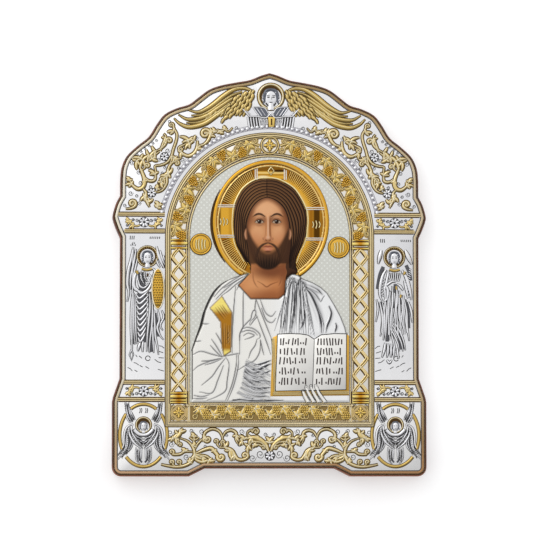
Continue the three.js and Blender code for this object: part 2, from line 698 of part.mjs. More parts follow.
function iconPlaque() {
  const ground = stack(archOutline(FRAME_BAND + FIT_GAP), [[0, boardTop], [0, sheetTop]]);
  const picture = join([ground, ...halo(), ...medallion(-1), ...medallion(1), ...robe(), ...book()]);
  const within = stack(archOutline(FRAME_BAND + FIT_GAP), [[0, boardTop - 1], [0, boardTop + 20]]);
  return picture.intersect(within).subtract(headBlank(FIT_GAP, boardTop - 1, boardTop + 20));
}

const finishes = {
  wood: { color: 0x4a2416, roughness: 0.4, metalness: 0 },
  silver: { color: 0xdadbdc, roughness: 0.3, metalness: 1 },
  gilt: { color: 0xd3a548, roughness: 0.3, metalness: 1 },
  paint: { color: 0x8a5230, roughness: 0.5, metalness: 0 },
};

function piece(name, solid, finish) {
  const made = solid.getMesh();
  const geometry = new THREE.BufferGeometry();
  geometry.setAttribute("position", new THREE.BufferAttribute(made.vertProperties, 3));
  geometry.setIndex(new THREE.BufferAttribute(made.triVerts, 1));
  geometry.computeVertexNormals();
  const mesh = new THREE.Mesh(geometry, new THREE.MeshStandardMaterial(finishes[finish]));
  mesh.name = name;
  return mesh;
}

const iconPanel = new THREE.Group();
iconPanel.add(
  piece("backing_board", backingBoard(), "wood"),
  piece("silver_surround", silverSurround(), "silver"),
  piece("arch_frame", archFrame(), "gilt"),
  piece("icon_plaque", iconPlaque(), "silver"),
  piece("painted_head", paintedHead(), "paint"),
);
export default iconPanel;
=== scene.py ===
import math
import random

import bpy
import numpy as np
from mathutils import Matrix, Vector


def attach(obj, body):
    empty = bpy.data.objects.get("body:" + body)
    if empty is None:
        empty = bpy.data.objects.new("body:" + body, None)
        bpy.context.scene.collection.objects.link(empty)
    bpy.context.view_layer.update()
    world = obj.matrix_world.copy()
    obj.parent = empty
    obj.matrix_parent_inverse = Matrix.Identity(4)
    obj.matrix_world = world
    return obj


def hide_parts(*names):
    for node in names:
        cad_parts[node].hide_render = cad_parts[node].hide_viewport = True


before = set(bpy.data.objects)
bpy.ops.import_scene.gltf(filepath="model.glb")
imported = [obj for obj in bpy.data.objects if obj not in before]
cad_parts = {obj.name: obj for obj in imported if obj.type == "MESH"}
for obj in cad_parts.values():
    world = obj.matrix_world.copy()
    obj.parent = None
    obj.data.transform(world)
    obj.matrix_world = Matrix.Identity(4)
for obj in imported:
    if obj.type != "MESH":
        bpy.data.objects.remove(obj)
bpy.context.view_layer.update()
MM = 0.001

# The view. The panel lies on its back, and a long lens looks down on its face from
# just left of its middle and just below it.
distance = 2.5
sideways = math.radians(3.2)
lower = math.radians(3.5)
aim = Vector((0.0002, 0.0031, 0.015))
bpy.ops.object.camera_add()
camera = bpy.context.object
camera.name = "camera"
toward = Vector((-math.sin(sideways), -math.sin(lower), 1)).normalized()
camera.location = aim + distance * toward
up = (Vector((0, 1, 0)) - toward * toward.y).normalized()
camera.rotation_euler = Matrix((up.cross(toward), up, toward)).transposed().to_euler()
camera.data.sensor_width = 36
camera.data.lens = 1.25 * distance * 1000 / 540 * 36
camera.data.clip_end = 20
bpy.context.scene.camera = camera

# The backing board: dark brown lacquered wood, sawn to the scalloped outline, with its
# front edge rounded over. Only that edge shows round the silver.
half_width = 125.8
waist = 119.8
crown_top = 161.8
feet = -161.8
crown_foot = 75.1
board_top = 14.0
sheet_top = 15.2


def smooth_line(points, step, closed=False):
    """A smooth line through the points, with a point about every step."""
    points = [np.array(p, float) for p in points]
    count = len(points)
    line = []
    for i in range(count if closed else count - 1):
        if closed:
            a, b, c, d = (points[(i + k) % count] for k in (-1, 0, 1, 2))
        else:
            b, c = points[i], points[i + 1]
            a = points[i - 1] if i else 2 * b - c
            d = points[i + 2] if i + 2 < count else 2 * c - b
        parts = max(1, int(round(np.linalg.norm(c - b) / step)))
        for k in range(parts):
            t = k / parts
            line.append(0.5 * (
                2 * b + (c - a) * t + (2 * a - 5 * b + 4 * c - d) * t * t
                + (3 * b - a - 3 * c + d) * t ** 3
            ))
    if not closed:
        line.append(points[-1])
    return np.array(line)


def mirrored(points):
    return [(-x, y) for x, y in points]


def panel_outline():
    """The whole outline, drawn down its right side and back up its left."""
    crown = [
        (0, 1), (0.057, 0.977), (0.134, 0.934), (0.222, 0.912), (0.326, 0.883), (0.407, 0.841),
        (0.487, 0.758), (0.541, 0.703), (0.622, 0.668), (0.703, 0.61), (0.756, 0.518),
        (0.81, 0.4), (0.881, 0.32), (0.956, 0.22), (0.991, 0.11), (1, 0),
    ]
    crown = [(x * waist, crown_foot + y * (crown_top - crown_foot)) for x, y in crown]
    shoulder = [
        (waist, 62.3), (waist + 3.3, 56), (half_width - 0.2, 47.4), (half_width - 0.2, 43.4),
        (waist + 3.3, 36), (waist, 28.7),
    ]
    half = list(smooth_line(crown, 2.5)) + list(smooth_line(shoulder, 2.5))
    half += [(waist, -83.7), (half_width - 0.8, -98.5), (half_width, -102.5)]
    corner = 7.5
    for k in range(9):
        turn = math.radians(90 * k / 8)
        half.append((
            half_width - corner + corner * math.cos(turn),
            feet + corner - corner * math.sin(turn),
        ))
    half += [(64.4, feet), (52, feet + 6.3)]
    half = [tuple(p) for p in half]
    return half + mirrored(half[1:])[::-1]


def clean_slate():
    if bpy.context.object and bpy.context.object.mode == "EDIT":
        bpy.ops.object.mode_set(mode="OBJECT")
    bpy.ops.object.select_all(action="DESELECT")


def plate(name, outline, low, high, bevel=0.0, segments=3):
    """A flat piece cut to an outline, its upper edge rounded."""
    clean_slate()
    bpy.ops.mesh.primitive_circle_add(vertices=len(outline), radius=1, fill_type="NGON")
    piece = bpy.context.object
    piece.name = name
    for vertex, (x, y) in zip(piece.data.vertices, outline):
        vertex.co = (x * MM, y * MM, low * MM)
    bpy.ops.object.mode_set(mode="EDIT")
    bpy.ops.mesh.select_all(action="SELECT")
    bpy.ops.mesh.extrude_region_move(
        TRANSFORM_OT_translate={"value": (0, 0, (high - low) * MM)}
    )
    bpy.ops.mesh.select_all(action="SELECT")
    bpy.ops.mesh.normals_make_consistent(inside=False)
    if bevel:
        bpy.ops.mesh.select_all(action="DESELECT")
        bpy.ops.object.mode_set(mode="OBJECT")
        for edge in piece.data.edges:
            ends = [piece.data.vertices[v].co.z for v in edge.vertices]
            edge.select = min(ends) > (high - 0.01) * MM
        bpy.ops.object.mode_set(mode="EDIT")
        bpy.ops.mesh.select_mode(type="EDGE")
        bpy.ops.mesh.bevel(offset=bevel * MM, segments=segments, affect="EDGES")
    bpy.ops.object.mode_set(mode="OBJECT")
    return piece


def finish_piece(piece, material, where, angle=40):
    """Shade and colour a finished piece, attach it to the root body, and hide the node that it stands for."""
    node, slot = where
    clean_slate()
    piece.select_set(True)
    bpy.context.view_layer.objects.active = piece
    bpy.ops.object.transform_apply(location=True, rotation=True, scale=True)
    bpy.ops.object.shade_smooth_by_angle(angle=math.radians(angle))
    piece.data.materials.clear()
    piece.data.materials.append(material)
    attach(piece, "root")
    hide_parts(node)


def feed(tree, socket, value):
    """Link an output to a socket, or else set the socket's own value."""
    if isinstance(value, bpy.types.NodeSocket):
        tree.links.new(value, socket)
    else:
        socket.default_value = (*value, 1) if socket.type == "RGBA" else value


def add_node(tree, kind, sockets=(), **settings):
    """One node of a material, with a value or an output for each of the sockets named."""
    made = tree.nodes.new("ShaderNode" + kind)
    for name, value in settings.items():
        setattr(made, name, value)
    for socket, value in dict(sockets).items():
        feed(tree, made.inputs[socket], value)
    return made


def principled(name, colour, metallic, roughness, coat=0.0):
    material = bpy.data.materials.new(name)
    material.use_nodes = True
    tree = material.node_tree
    shader = tree.nodes["Principled BSDF"]
    for socket, value in (("Base Color", colour), ("Metallic", metallic), ("Roughness", roughness),
                          ("Coat Weight", coat), ("Coat Roughness", 0.15)):
        feed(tree, shader.inputs[socket], value)
    return material, tree, shader


def noise_of(tree, scale, detail=3.0, stretch=(1, 1, 1)):
    """Soft mottling over a piece, as a value from 0 to 1."""
    place = add_node(tree, "TexCoord").outputs["Object"]
    place = add_node(tree, "Mapping", {"Vector": place, "Scale": stretch}).outputs["Vector"]
    return add_node(tree, "TexNoise", {"Vector": place, "Scale": scale, "Detail": detail}).outputs["Fac"]


def ranged(tree, value, first, last, low=0.0, high=1.0):
    """A value that goes from low to high as the given one goes from first to last."""
    return add_node(tree, "MapRange", {
        "Value": value, "From Min": first, "From Max": last, "To Min": low, "To Max": high,
    }).outputs["Result"]


def place_on(tree, axis):
    """How far a point of the piece lies along one axis, in metres."""
    place = add_node(tree, "TexCoord").outputs["Object"]
    return add_node(tree, "SeparateXYZ", {"Vector": place}).outputs[axis]


def blended(tree, share, first, second, way="MIX"):
    """The first colour, turning into the second as the share grows."""
    return add_node(tree, "Mix", {0: share, 6: first, 7: second}, data_type="RGBA", blend_type=way).outputs[2]


def toned(tree, value, stops):
    """A colour for each value. A stop is (value, colour)."""
    made = add_node(tree, "ValToRGB", {"Fac": value})
    marks = made.color_ramp.elements
    marks[0].position = stops[0][0]
    marks[-1].position = stops[-1][0]
    for place, _ in stops[1:-1]:
        marks.new(place)
    for mark, (_, colour) in zip(marks, stops):
        mark.color = (*colour, 1)
    return made.outputs["Color"]


def roughened(tree, shader, height, strength, deepest=0.0002):
    """Fine unevenness of a surface."""
    bump = add_node(tree, "Bump", {"Height": height, "Strength": strength, "Distance": deepest})
    feed(tree, shader.inputs["Normal"], bump.outputs["Normal"])


def wood_finish():
    """Dark brown lacquer over a fine grain, painted paler towards the feet as light thrown up from the floor.
    """
    material, tree, shader = principled("brown_lacquer", (0.09, 0.03, 0.015), 0, 0.45, 0.12)
    grain = noise_of(tree, 60, 5, (9, 1, 9))
    brown = toned(tree, grain, [(0.35, (0.06, 0.016, 0.008)), (0.7, (0.24, 0.07, 0.035))])
    # Painted light: the board's colour turns paler towards its feet.
    near_foot = ranged(tree, place_on(tree, "Y"), -0.15, -0.162, 0, 0.75)
    feed(tree, shader.inputs["Base Color"], blended(tree, near_foot, brown, (0.46, 0.18, 0.1)))
    feed(tree, shader.inputs["Roughness"], ranged(tree, grain, 0.3, 0.7, 0.28, 0.42))
    roughened(tree, shader, grain, 0.12, 0.0004)
    return material


outline = panel_outline()
board = plate("board", outline, 0, board_top, 1.5)
finish_piece(board, wood_finish(), ("backing_board", "wood"))


def moved_in(points, distance):
    """The closed outline moved in by a distance, corner for corner."""
    points = np.array(points, float)
    before = points - np.roll(points, 1, axis=0)
    after = np.roll(points, -1, axis=0) - points
    before /= np.linalg.norm(before, axis=1)[:, None]
    after /= np.linalg.norm(after, axis=1)[:, None]
    area = np.sum(points[:, 0] * np.roll(points[:, 1], -1) - points[:, 1] * np.roll(points[:, 0], -1))
    turn = 1 if area > 0 else -1
    normal = np.stack([-(before + after)[:, 1], (before + after)[:, 0]], axis=1)
    normal *= (turn / (1 + np.sum(before * after, axis=1)))[:, None]
    return points + distance * normal


# The silver surround: one thin sheet of silver pressed over the board, bright on the raised
# work and darkened in its recesses, with an arched opening for the frame.
frame_half = 83.5
frame_foot = -122.4
spring = 29.8


def arch_line(distance, steps=120):
    """A closed line round the arch frame, moved in from its outer edge."""
    half = frame_half - distance
    low = frame_foot + distance
    line = [(-half, low), (half, low)]
    for k in range(steps + 1):
        turn = math.pi * k / steps
        line.append((half * math.cos(turn), spring + half * math.sin(turn)))
    return line


def metal(name, colour, low=0.2, high=0.34, recess=(0.02, 0.017, 0.015), reach=0.9, grades=(),
          shade_on_right=(1, 1, 1)):
    """Polished metal whose recesses are darkened, as old silver and gilding are. The grades are places up the
    panel, each with a colour painted there as light and shade on the metal, and shade_on_right is painted shade
    that darkens it on the right."""
    material, tree, shader = principled(name, colour, 1.0, 0.3)
    fine = noise_of(tree, 140, 4)
    feed(tree, shader.inputs["Roughness"], ranged(tree, fine, 0.3, 0.7, low, high))
    if grades:
        # Painted light and shade: a colour for each place up the panel, darkened on the right side.
        lowest, highest = grades[0][0], grades[-1][0]
        rise = ranged(tree, place_on(tree, "Y"), lowest * MM, highest * MM)
        open_colour = toned(tree, rise, [((y - lowest) / (highest - lowest), shown) for y, shown in grades])
        rightward = ranged(tree, place_on(tree, "X"), 0, 0.06)
        open_colour = blended(tree, rightward, open_colour, shade_on_right, "MULTIPLY")
    else:
        broad = ranged(tree, noise_of(tree, 22, 2), 0.3, 0.7)
        open_colour = blended(tree, broad, [0.97 * c for c in colour], colour)
    hollow = add_node(tree, "AmbientOcclusion", {"Distance": reach * MM}, samples=8).outputs["AO"]
    opening = ranged(tree, hollow, 0.35, 0.75)
    feed(tree, shader.inputs["Base Color"], blended(tree, opening, recess, open_colour))
    roughened(tree, shader, fine, 0.03)
    return material



def open_up(piece, outline, low, high):
    """Cut an opening of the given outline through a sheet."""
    opening = plate("opening_cutter", outline, low, high)
    clean_slate()
    piece.select_set(True)
    bpy.context.view_layer.objects.active = piece
    cut = piece.modifiers.new("opening", "BOOLEAN")
    cut.object = opening
    cut.solver = "EXACT"
    bpy.ops.object.modifier_apply(modifier=cut.name)
    bpy.data.objects.remove(opening)


on_sheet = ("silver_surround", "silver")
on_sheet_gilt = ("silver_surround", "gilt")
silver = metal("bright_silver", (0.88, 0.88, 0.9))
pale_gilt = metal("pale_gilt", (0.66, 0.46, 0.14), recess=(0.03, 0.018, 0.006), reach=1.2)
scroll_gilt = metal("scroll_gilt", (0.8, 0.62, 0.27), recess=(0.1, 0.065, 0.025), reach=1.2)
vine_gilt = metal("vine_gilt", (0.86, 0.61, 0.17), recess=(0.16, 0.08, 0.015), reach=1.4)
rich_gilt = metal("rich_gilt", (0.8, 0.47, 0.07), recess=(0.05, 0.02, 0.004), reach=1.2)
frame_gilt = metal("frame_gilt", (0.82, 0.67, 0.37), recess=(0.03, 0.018, 0.006), reach=1.2)
# Dull gilt: the gilt ground at the column feet, and painted shade round the vine.
dull_gilt_and_shade = metal("dull_gilt_and_shade", (0.62, 0.45, 0.2), 0.3, 0.45, recess=(0.1, 0.06, 0.02))
warm_brown = metal("warm_brown", (0.13, 0.085, 0.03), 0.35, 0.5)
pearl_grey = metal("pearl_grey", (0.34, 0.33, 0.37), 0.35, 0.5)
# Pale gilt, for painted highlights along crests and for the shield's rim.
pale_crest = metal("pale_crest", (0.96, 0.9, 0.7), 0.15, 0.25, recess=(0.5, 0.4, 0.2))
bead_gilt = metal("bead_gilt", (0.86, 0.72, 0.5), recess=(0.03, 0.018, 0.006))
# The edge bead's gilt is painted rosy at the feet and dark brown at the crown, as reflection and shade, and
# darker on the right side as painted shade.
edge_gilt = metal("edge_gilt", (0.86, 0.72, 0.5), recess=(0.03, 0.018, 0.006), shade_on_right=(0.74, 0.65, 0.52),
                  grades=(
    (-160, (0.6, 0.38, 0.22)), (-135, (0.48, 0.35, 0.2)), (-105, (0.6, 0.5, 0.34)), (-80, (0.85, 0.77, 0.6)),
    (85, (0.86, 0.8, 0.66)), (125, (0.62, 0.49, 0.3)), (160, (0.4, 0.28, 0.13))))
band_shadow = metal("band_shadow", (0.42, 0.28, 0.1), 0.35, 0.5)
cloth_grey = metal("cloth_grey", (0.16, 0.17, 0.2), 0.3, 0.45)
# Darkened silver: oxide in the hollows, and painted shade where it lies round raised lines and under the flutes
# of the winged head.
oxide_and_shade = metal("darkened_silver", (0.05, 0.048, 0.046), 0.35, 0.5)
# Brown patina in seams and cut lines; it is also painted shade along the halo's left edge, beside the lattice
# straps and between the frame's beads.
brown_patina_and_shade = metal("brown_patina_and_shade", (0.09, 0.05, 0.02), 0.35, 0.5)
dark_silver = metal("shaded_silver", (0.12, 0.12, 0.13), 0.35, 0.5)
# Bright gilt, for raised gilt work and for painted highlights along crests and page edges.
bright_gilt = metal("bright_gilt", (0.95, 0.8, 0.42), 0.15, 0.25, recess=(0.3, 0.2, 0.05))
brown_grey = metal("engraved_grey", (0.07, 0.055, 0.05), 0.35, 0.5)
cream_silver = metal("cream_silver", (0.88, 0.84, 0.76), 0.3, 0.42)

sheet_line = moved_in(outline, 1.6)
surround = plate("surround_sheet", sheet_line, board_top, sheet_top, 0.3, 2)
open_up(surround, arch_line(-0.3, 96), board_top - 2, sheet_top + 4)
# The sheet's silver is painted lighter towards the feet and greyer towards the crown, as light and shade.
sheet_silver = metal("sheet_silver", (0.88, 0.88, 0.9), grades=(
    (-160, (0.98, 0.975, 0.96)), (-110, (0.96, 0.955, 0.945)), (-60, (0.88, 0.88, 0.89)),
                                                                (60, (0.86, 0.86, 0.875)),
    (160, (0.86, 0.855, 0.85))))
finish_piece(surround, sheet_silver, on_sheet, 25)

# The gilt bead along the sheet's edge and the gilt bars across it. They are pressed in the
# same sheet and gilded, and a dark line is cut along each side of them.
def drawn(name, lines, low, flat=0.6, sides=1, closed=False):
    """Raised lines, made as one round curve and pressed flatter. A line is (points, widths)."""
    clean_slate()
    bpy.ops.curve.primitive_bezier_curve_add()
    piece = bpy.context.object
    piece.name = name
    curve = piece.data
    curve.dimensions = "3D"
    curve.twist_mode = "Z_UP"
    curve.splines.clear()
    curve.bevel_depth = MM
    curve.bevel_resolution = sides
    curve.use_fill_caps = True
    for points, widths in lines:
        spline = curve.splines.new("POLY")
        spline.points.add(len(points) - 1)
        spline.use_cyclic_u = closed
        widths = np.broadcast_to(widths, len(points))
        for point, (x, y), width in zip(spline.points, points, widths):
            point.co = (x * MM, y * MM, 0, 1)
            point.radius = width / 2
    bpy.ops.object.convert(target="MESH")
    piece = bpy.context.object
    bpy.ops.transform.resize(value=(1, 1, flat))
    bpy.ops.transform.translate(value=(0, 0, low * MM))
    return piece


def laid(name, lines, low, finish, where, flat=0.6, sides=1, closed=False, angle=60):
    """Raised lines in their finish."""
    finish_piece(drawn(name, lines, low, flat, sides, closed), finish, where, angle)


def tapered(count, width, start=0.35, end=0.15, fullest=0.4):
    """Widths along a line that swells and thins out."""
    share = np.linspace(0, 1, count)
    rise = start + (1 - start) * np.sin(np.clip(share / fullest, 0, 1) * math.pi / 2)
    fall = end + (1 - end) * np.cos(np.clip((share - fullest) / (1 - fullest), 0, 1) * math.pi / 2)
    return width * np.minimum(rise, fall)


def along_outline(distance):
    """The sheet's outline, moved in, as a closed line of even points."""
    return moved_in(outline, distance)


bar_ends = {47.4: 121.5, 34.0: 116.6, -86.8: 118.2, -100.5: 121.5}
bars, bar_cuts = [], []
for y, reach in bar_ends.items():
    for side in (-1, 1):
        for off in (0.75, -0.75):
            bars.append(([(side * 84, y + off), (side * reach, y + off)], 1.3))
        for off in (-1.75, 0, 1.75):
            bar_cuts.append(([(side * 84, y + off), (side * (reach - 1), y + off)], 0.75 if off else 0.4))
laid("edge_bead", [(along_outline(3.2), 2.3)], sheet_top, edge_gilt, on_sheet_gilt, 0.75, 2, True, 40)
laid("cross_bars", bars, sheet_top, frame_gilt, on_sheet_gilt, 0.7, angle=40)
laid("edge_line", [(along_outline(4.7), 0.55)], sheet_top, oxide_and_shade, on_sheet, 0.3, 1, True, 40)
laid("edge_seam", [(along_outline(1.6), 0.85)], sheet_top, brown_patina_and_shade, on_sheet_gilt, 0.3, 1, True, 40)
laid("bar_lines", bar_cuts, sheet_top, brown_patina_and_shade, on_sheet_gilt, 0.3, angle=40)


# The scrollwork: pressed acanthus stems that wind into volutes, gilded, with small curls and rosettes left
# silver between them. The ground is darkened close round each stem, as patina and painted shade, and a painted
# highlight runs along each stem's crest.
def volute(x, y, radius, start, turns, tail=()):
    """A line that winds out from its eye to the angle start, then runs on along its tail."""
    count = int(12 * abs(turns)) + 4
    points = []
    for k in range(count + 1):
        share = k / count
        turn = math.radians(start + 360 * turns * (share - 1))
        reach = radius * (0.16 + 0.84 * share)
        points.append((x + reach * math.cos(turn), y + reach * math.sin(turn)))
    return smooth_line(points + list(tail), 0.8)


def leaf(x, y, heading, length, curl=60, width=2.4):
    """A leaf of three lobes that leans over as it grows."""
    lines = []
    for lobe, (lean, share) in enumerate(((0, 1.0), (38, 0.68), (-42, 0.62))):
        points = []
        turn = math.radians(heading + lean)
        px, py = x, y
        for k in range(7):
            points.append((px, py))
            turn += math.radians(curl if lobe != 2 else -curl) / 6
            px += share * length / 6 * math.cos(turn)
            py += share * length / 6 * math.sin(turn)
        lines.append((np.array(points), tapered(7, width * (1 if lobe == 0 else 0.8), 0.5, 0.2)))
    return lines


def rosette(x, y, radius, petals=6):
    lines = []
    for k in range(petals):
        turn = math.tau * k / petals
        near = (x + 0.25 * radius * math.cos(turn), y + 0.25 * radius * math.sin(turn))
        far = (x + 0.95 * radius * math.cos(turn), y + 0.95 * radius * math.sin(turn))
        lines.append((smooth_line([near, far], radius / 4), tapered(5, 0.5 * radius, 0.6, 0.7)[:4]))
    return lines


def oval(x, y, across, tall, steps=40):
    turns = math.tau * np.arange(steps) / steps
    return np.column_stack([x + across * np.cos(turns), y + tall * np.sin(turns)])


def circle(x, y, radius, steps=40):
    return oval(x, y, radius, radius, steps)


def shifted(line, across, up):
    return [(x + across, y + up) for x, y in line]


def both_sides(lines):
    return lines + [(np.array(points) * (-1, 1), widths) for points, widths in lines]


crown_curls = [
    (-51.6, 112.3, 4.1, -10, -1.4, 2.2, [(-49.6, 106.8), (-52.4, 103.9), (-55.7, 102.8), (-59.0, 103.1)]),
    (-79.0, 119.0, 2.0, -30, -1.1, 1.5, [(-76.5, 115.7), (-74.5, 111.7), (-74.9, 106.8), (-77.3, 99.4),
     (-79.0, 93.7), (-82.6, 88.8), (-87.5, 86.8), (-91.8, 85.9), (-91.4, 81.4), (-92.4, 74.1)]),
    (-80.6, 106.6, 2.4, 200, 1.2, 1.8, [(-84.3, 102.7), (-86.7, 100.2), (-87.5, 97.8)]),
    (-93.9, 93.5, 2.1, 60, 1.2, 1.7, [(-91.2, 95.7), (-88.3, 97.8)]),
    (-98.0, 86.3, 2.0, 200, 1.2, 1.7, [(-100.2, 84.3), (-102.1, 82.7)]),
    (-74.3, 88.4, 2.1, 150, 1.2, 1.7, [(-77.7, 89.2), (-80.2, 86.3), (-81.6, 82.3), (-82.6, 77.4),
     (-82.5, 72.9), (-84.1, 69.2), (-86.7, 66.3), (-90.4, 65.1), (-92.8, 66.8)]),
    (-77.3, 92.7, 1.6, 230, 1.1, 1.5, [(-79.0, 90.0), (-80.2, 87.2)]),
    (-86.3, 74.9, 2.0, -20, -1.2, 1.6, [(-84.3, 72.9), (-84.4, 70.0)]),
    (-110.0, 56.0, 3.1, -60, -1.3, 2.0, [(-111.2, 52.1), (-115.3, 51.6)]),
    (-71.2, 99.8, 2.0, 120, -1.1, 1.5, [(-69.2, 103.1), (-66.3, 104.7)]),
]
crown_stems = [
    (2.4, [(-58.1, 106.8), (-58.1, 102.3), (-59.4, 98.2), (-62.2, 95.3), (-65.9, 94.3), (-69.4, 96.1),
           (-72.0, 99.0)]),
    (1.2, [(-47.1, 110.0), (-44.7, 113.3), (-41.8, 115.3), (-39.0, 113.7), (-36.1, 115.7), (-33.2, 114.1),
           (-29.6, 117.4)]),
    (2.6, [(-104.3, 85.9), (-102.1, 80.6), (-100.6, 76.5), (-100.2, 72.5), (-101.8, 68.8), (-105.5, 67.6),
     (-109.2, 70.0), (-111.2, 72.9), (-112.8, 74.9)]),
    (1.8, [(-100.2, 77.0), (-97.3, 74.5), (-94.1, 73.9), (-91.8, 75.3), (-91.1, 79.0)]),
    (2.0, [(-101.4, 68.0), (-99.0, 64.3), (-99.9, 61.0), (-98.3, 57.4), (-96.1, 52.9)]),
    (1.6, [(-85.1, 112.5), (-83.3, 109.6), (-85.1, 105.1), (-87.1, 100.2), (-90.0, 98.6), (-92.8, 97.0)]),
    (1.6, [(-90.8, 52.9), (-88.3, 54.1), (-87.5, 57.0)]),
]
crown_leaves = [
    (-47.5, 110.5, 60, 6), (-60.5, 106.5, 150, 7), (-64.5, 106.0, 120, 8), (-64.0, 104.5, 200, 6),
    (-91.5, 98.0, 200, 8), (-96.5, 94.5, 190, 8), (-101.0, 91.0, 220, 8), (-103.0, 91.5, 140, 7),
    (-82.5, 77.5, 140, 5), (-82.0, 79.5, 20, 6), (-92.0, 79.0, 110, 6), (-99.5, 61.5, 190, 5),
    (-98.0, 57.0, 0, 5), (-88.5, 53.8, 100, 5), (-77.0, 113.5, 150, 5), (-110.2, 71.0, 150, 5),
    (-44.5, 113.4, 80, 4), (-40.5, 114.6, 300, 4), (-36.0, 115.4, 80, 3.5), (-106.0, 90.5, 235, 7),
    (-94.3, 92.5, 300, 5), (-77.0, 92.0, 330, 5), (-80.5, 80.5, 180, 5), (-86.6, 73.5, 250, 5),
    (-90.3, 67.5, 60, 4), (-99.5, 60.0, 60, 4), (-90.0, 52.5, 60, 5), (-58.5, 101.0, 320, 5),
    (-70.5, 97.5, 230, 5), (-83.6, 109.0, 240, 5), (-101.2, 74.5, 330, 4), (-112.0, 74.0, 100, 4),
]
foot_curls = [
    (-10.9, -126.0, 2.7, 190, 1.2, 1.4, [(-14.8, -124.8), (-17.6, -126.5), (-18.2, -129.9)]),
    (-5.0, -138.7, 1.8, 150, 1.1, 1.3, [(-8.1, -136.6), (-10.9, -136.1)]),
    (-19.8, -145.1, 2.7, -80, -1.2, 2.0, [(-22.1, -148.5), (-25.5, -147.9), (-27.7, -145.1), (-30.0, -141.1),
     (-34.4, -138.9), (-40.1, -138.7)]),
    (-38.9, -146.5, 3.1, 150, -1.2, 2.4, [(-43.2, -142.8), (-46.6, -139.4), (-51.3, -140.2),
                                          (-56.3, -142.2), (-59.7, -143.9)]),
    (-42.9, -133.8, 1.8, -60, -1.1, 1.3, [(-41.2, -137.2), (-39.8, -138.7)]),
    (-37.2, -134.4, 1.8, 240, 1.1, 1.3, [(-38.7, -137.2), (-39.6, -138.7)]),
    (-49.6, -132.1, 2.7, 160, -1.2, 1.7, [(-52.6, -129.3), (-50.7, -126.0), (-45.7, -123.9), (-40.6, -125.6),
     (-38.0, -129.9), (-37.8, -134.2)]),
    (-78.2, -142.2, 2.0, -70, -1.1, 1.5, [(-76.0, -144.3), (-71.5, -144.0), (-67.6, -142.0),
                                          (-61.4, -142.2)]),
    (-78.2, -150.3, 1.8, -60, -1.1, 1.4, [(-76.5, -152.9), (-74.9, -153.5)]),
    (-72.4, -150.3, 1.8, -60, -1.1, 1.4, [(-70.9, -152.6), (-69.2, -153.2)]),
    (-71.5, -136.6, 1.6, 180, 1.1, 1.3, [(-72.8, -133.8), (-72.6, -131.6)]),
]
foot_stems = [
    (3.0, [(-0.8, -141.7), (-3.0, -136.6), (-7.5, -132.7), (-13.1, -130.8), (-21.0, -132.4)]),
    (1.6, [(-0.8, -141.7), (-5.8, -135.5), (-9.7, -134.2), (-14.2, -134.4), (-16.5, -137.8),
           (-19.6, -140.9)]),
    (2.6, [(-35.6, -138.9), (-31.6, -140.6), (-29.4, -145.1), (-28.8, -149.2)]),
    (1.8, [(-37.8, -130.5), (-35.0, -126.3), (-30.5, -125.0), (-26.8, -127.4), (-27.1, -132.1),
           (-25.5, -135.7)]),
    (2.0, [(-86.6, -152.1), (-81.6, -153.2), (-74.9, -154.1), (-68.1, -153.2), (-62.5, -149.9),
           (-60.0, -143.9),
     (-61.4, -138.3), (-65.3, -133.8), (-71.5, -131.2)]),
    (2.8, [(-72.0, -124.2), (-71.5, -127.1), (-74.0, -130.5), (-77.7, -131.9)]),
    (1.4, [(-60.3, -141.1), (-58.0, -136.6), (-54.6, -132.7), (-51.3, -130.5)]),
    (2.2, [(-59.7, -145.1), (-58.6, -148.4), (-53.5, -150.3), (-49.0, -149.0), (-45.1, -150.7)]),
    (1.6, [(-59.1, -146.2), (-54.6, -145.1), (-49.6, -146.2), (-46.2, -149.5)]),
    (1.3, [(-64.2, -130.5), (-61.9, -132.1), (-60.3, -133.0), (-60.8, -127.7)]),
    (1.3, [(-56.3, -130.5), (-58.2, -132.1), (-60.3, -133.0), (-60.3, -135.5)]),
]
foot_leaves = [
    (-14.0, -131.0, 215, 6), (-20.0, -132.5, 110, 5), (-16.5, -137.0, 230, 6), (-31.5, -141.0, 250, 7),
    (-26.5, -129.0, 260, 5), (-73.0, -128.0, 200, 6), (-74.5, -131.0, 250, 5), (-60.0, -144.5, 300, 7),
    (-53.0, -146.0, 250, 5), (-60.3, -130.5, 90, 4), (0.3, -135.5, 90, 6), (-27.8, -145.1, 200, 5),
    (-36.0, -138.5, 30, 5), (-49.0, -149.0, 330, 5), (-60.5, -138.0, 60, 4), (-67.0, -142.0, 110, 4),
    (-44.0, -142.0, 110, 4), (-21.5, -134.0, 200, 4), (-8.5, -132.5, 100, 4), (-51.0, -130.5, 210, 4),
    (-72.0, -126.0, 340, 5), (-77.0, -132.0, 160, 4), (-64.0, -151.0, 60, 4), (-13.0, -136.5, 330, 4),
]
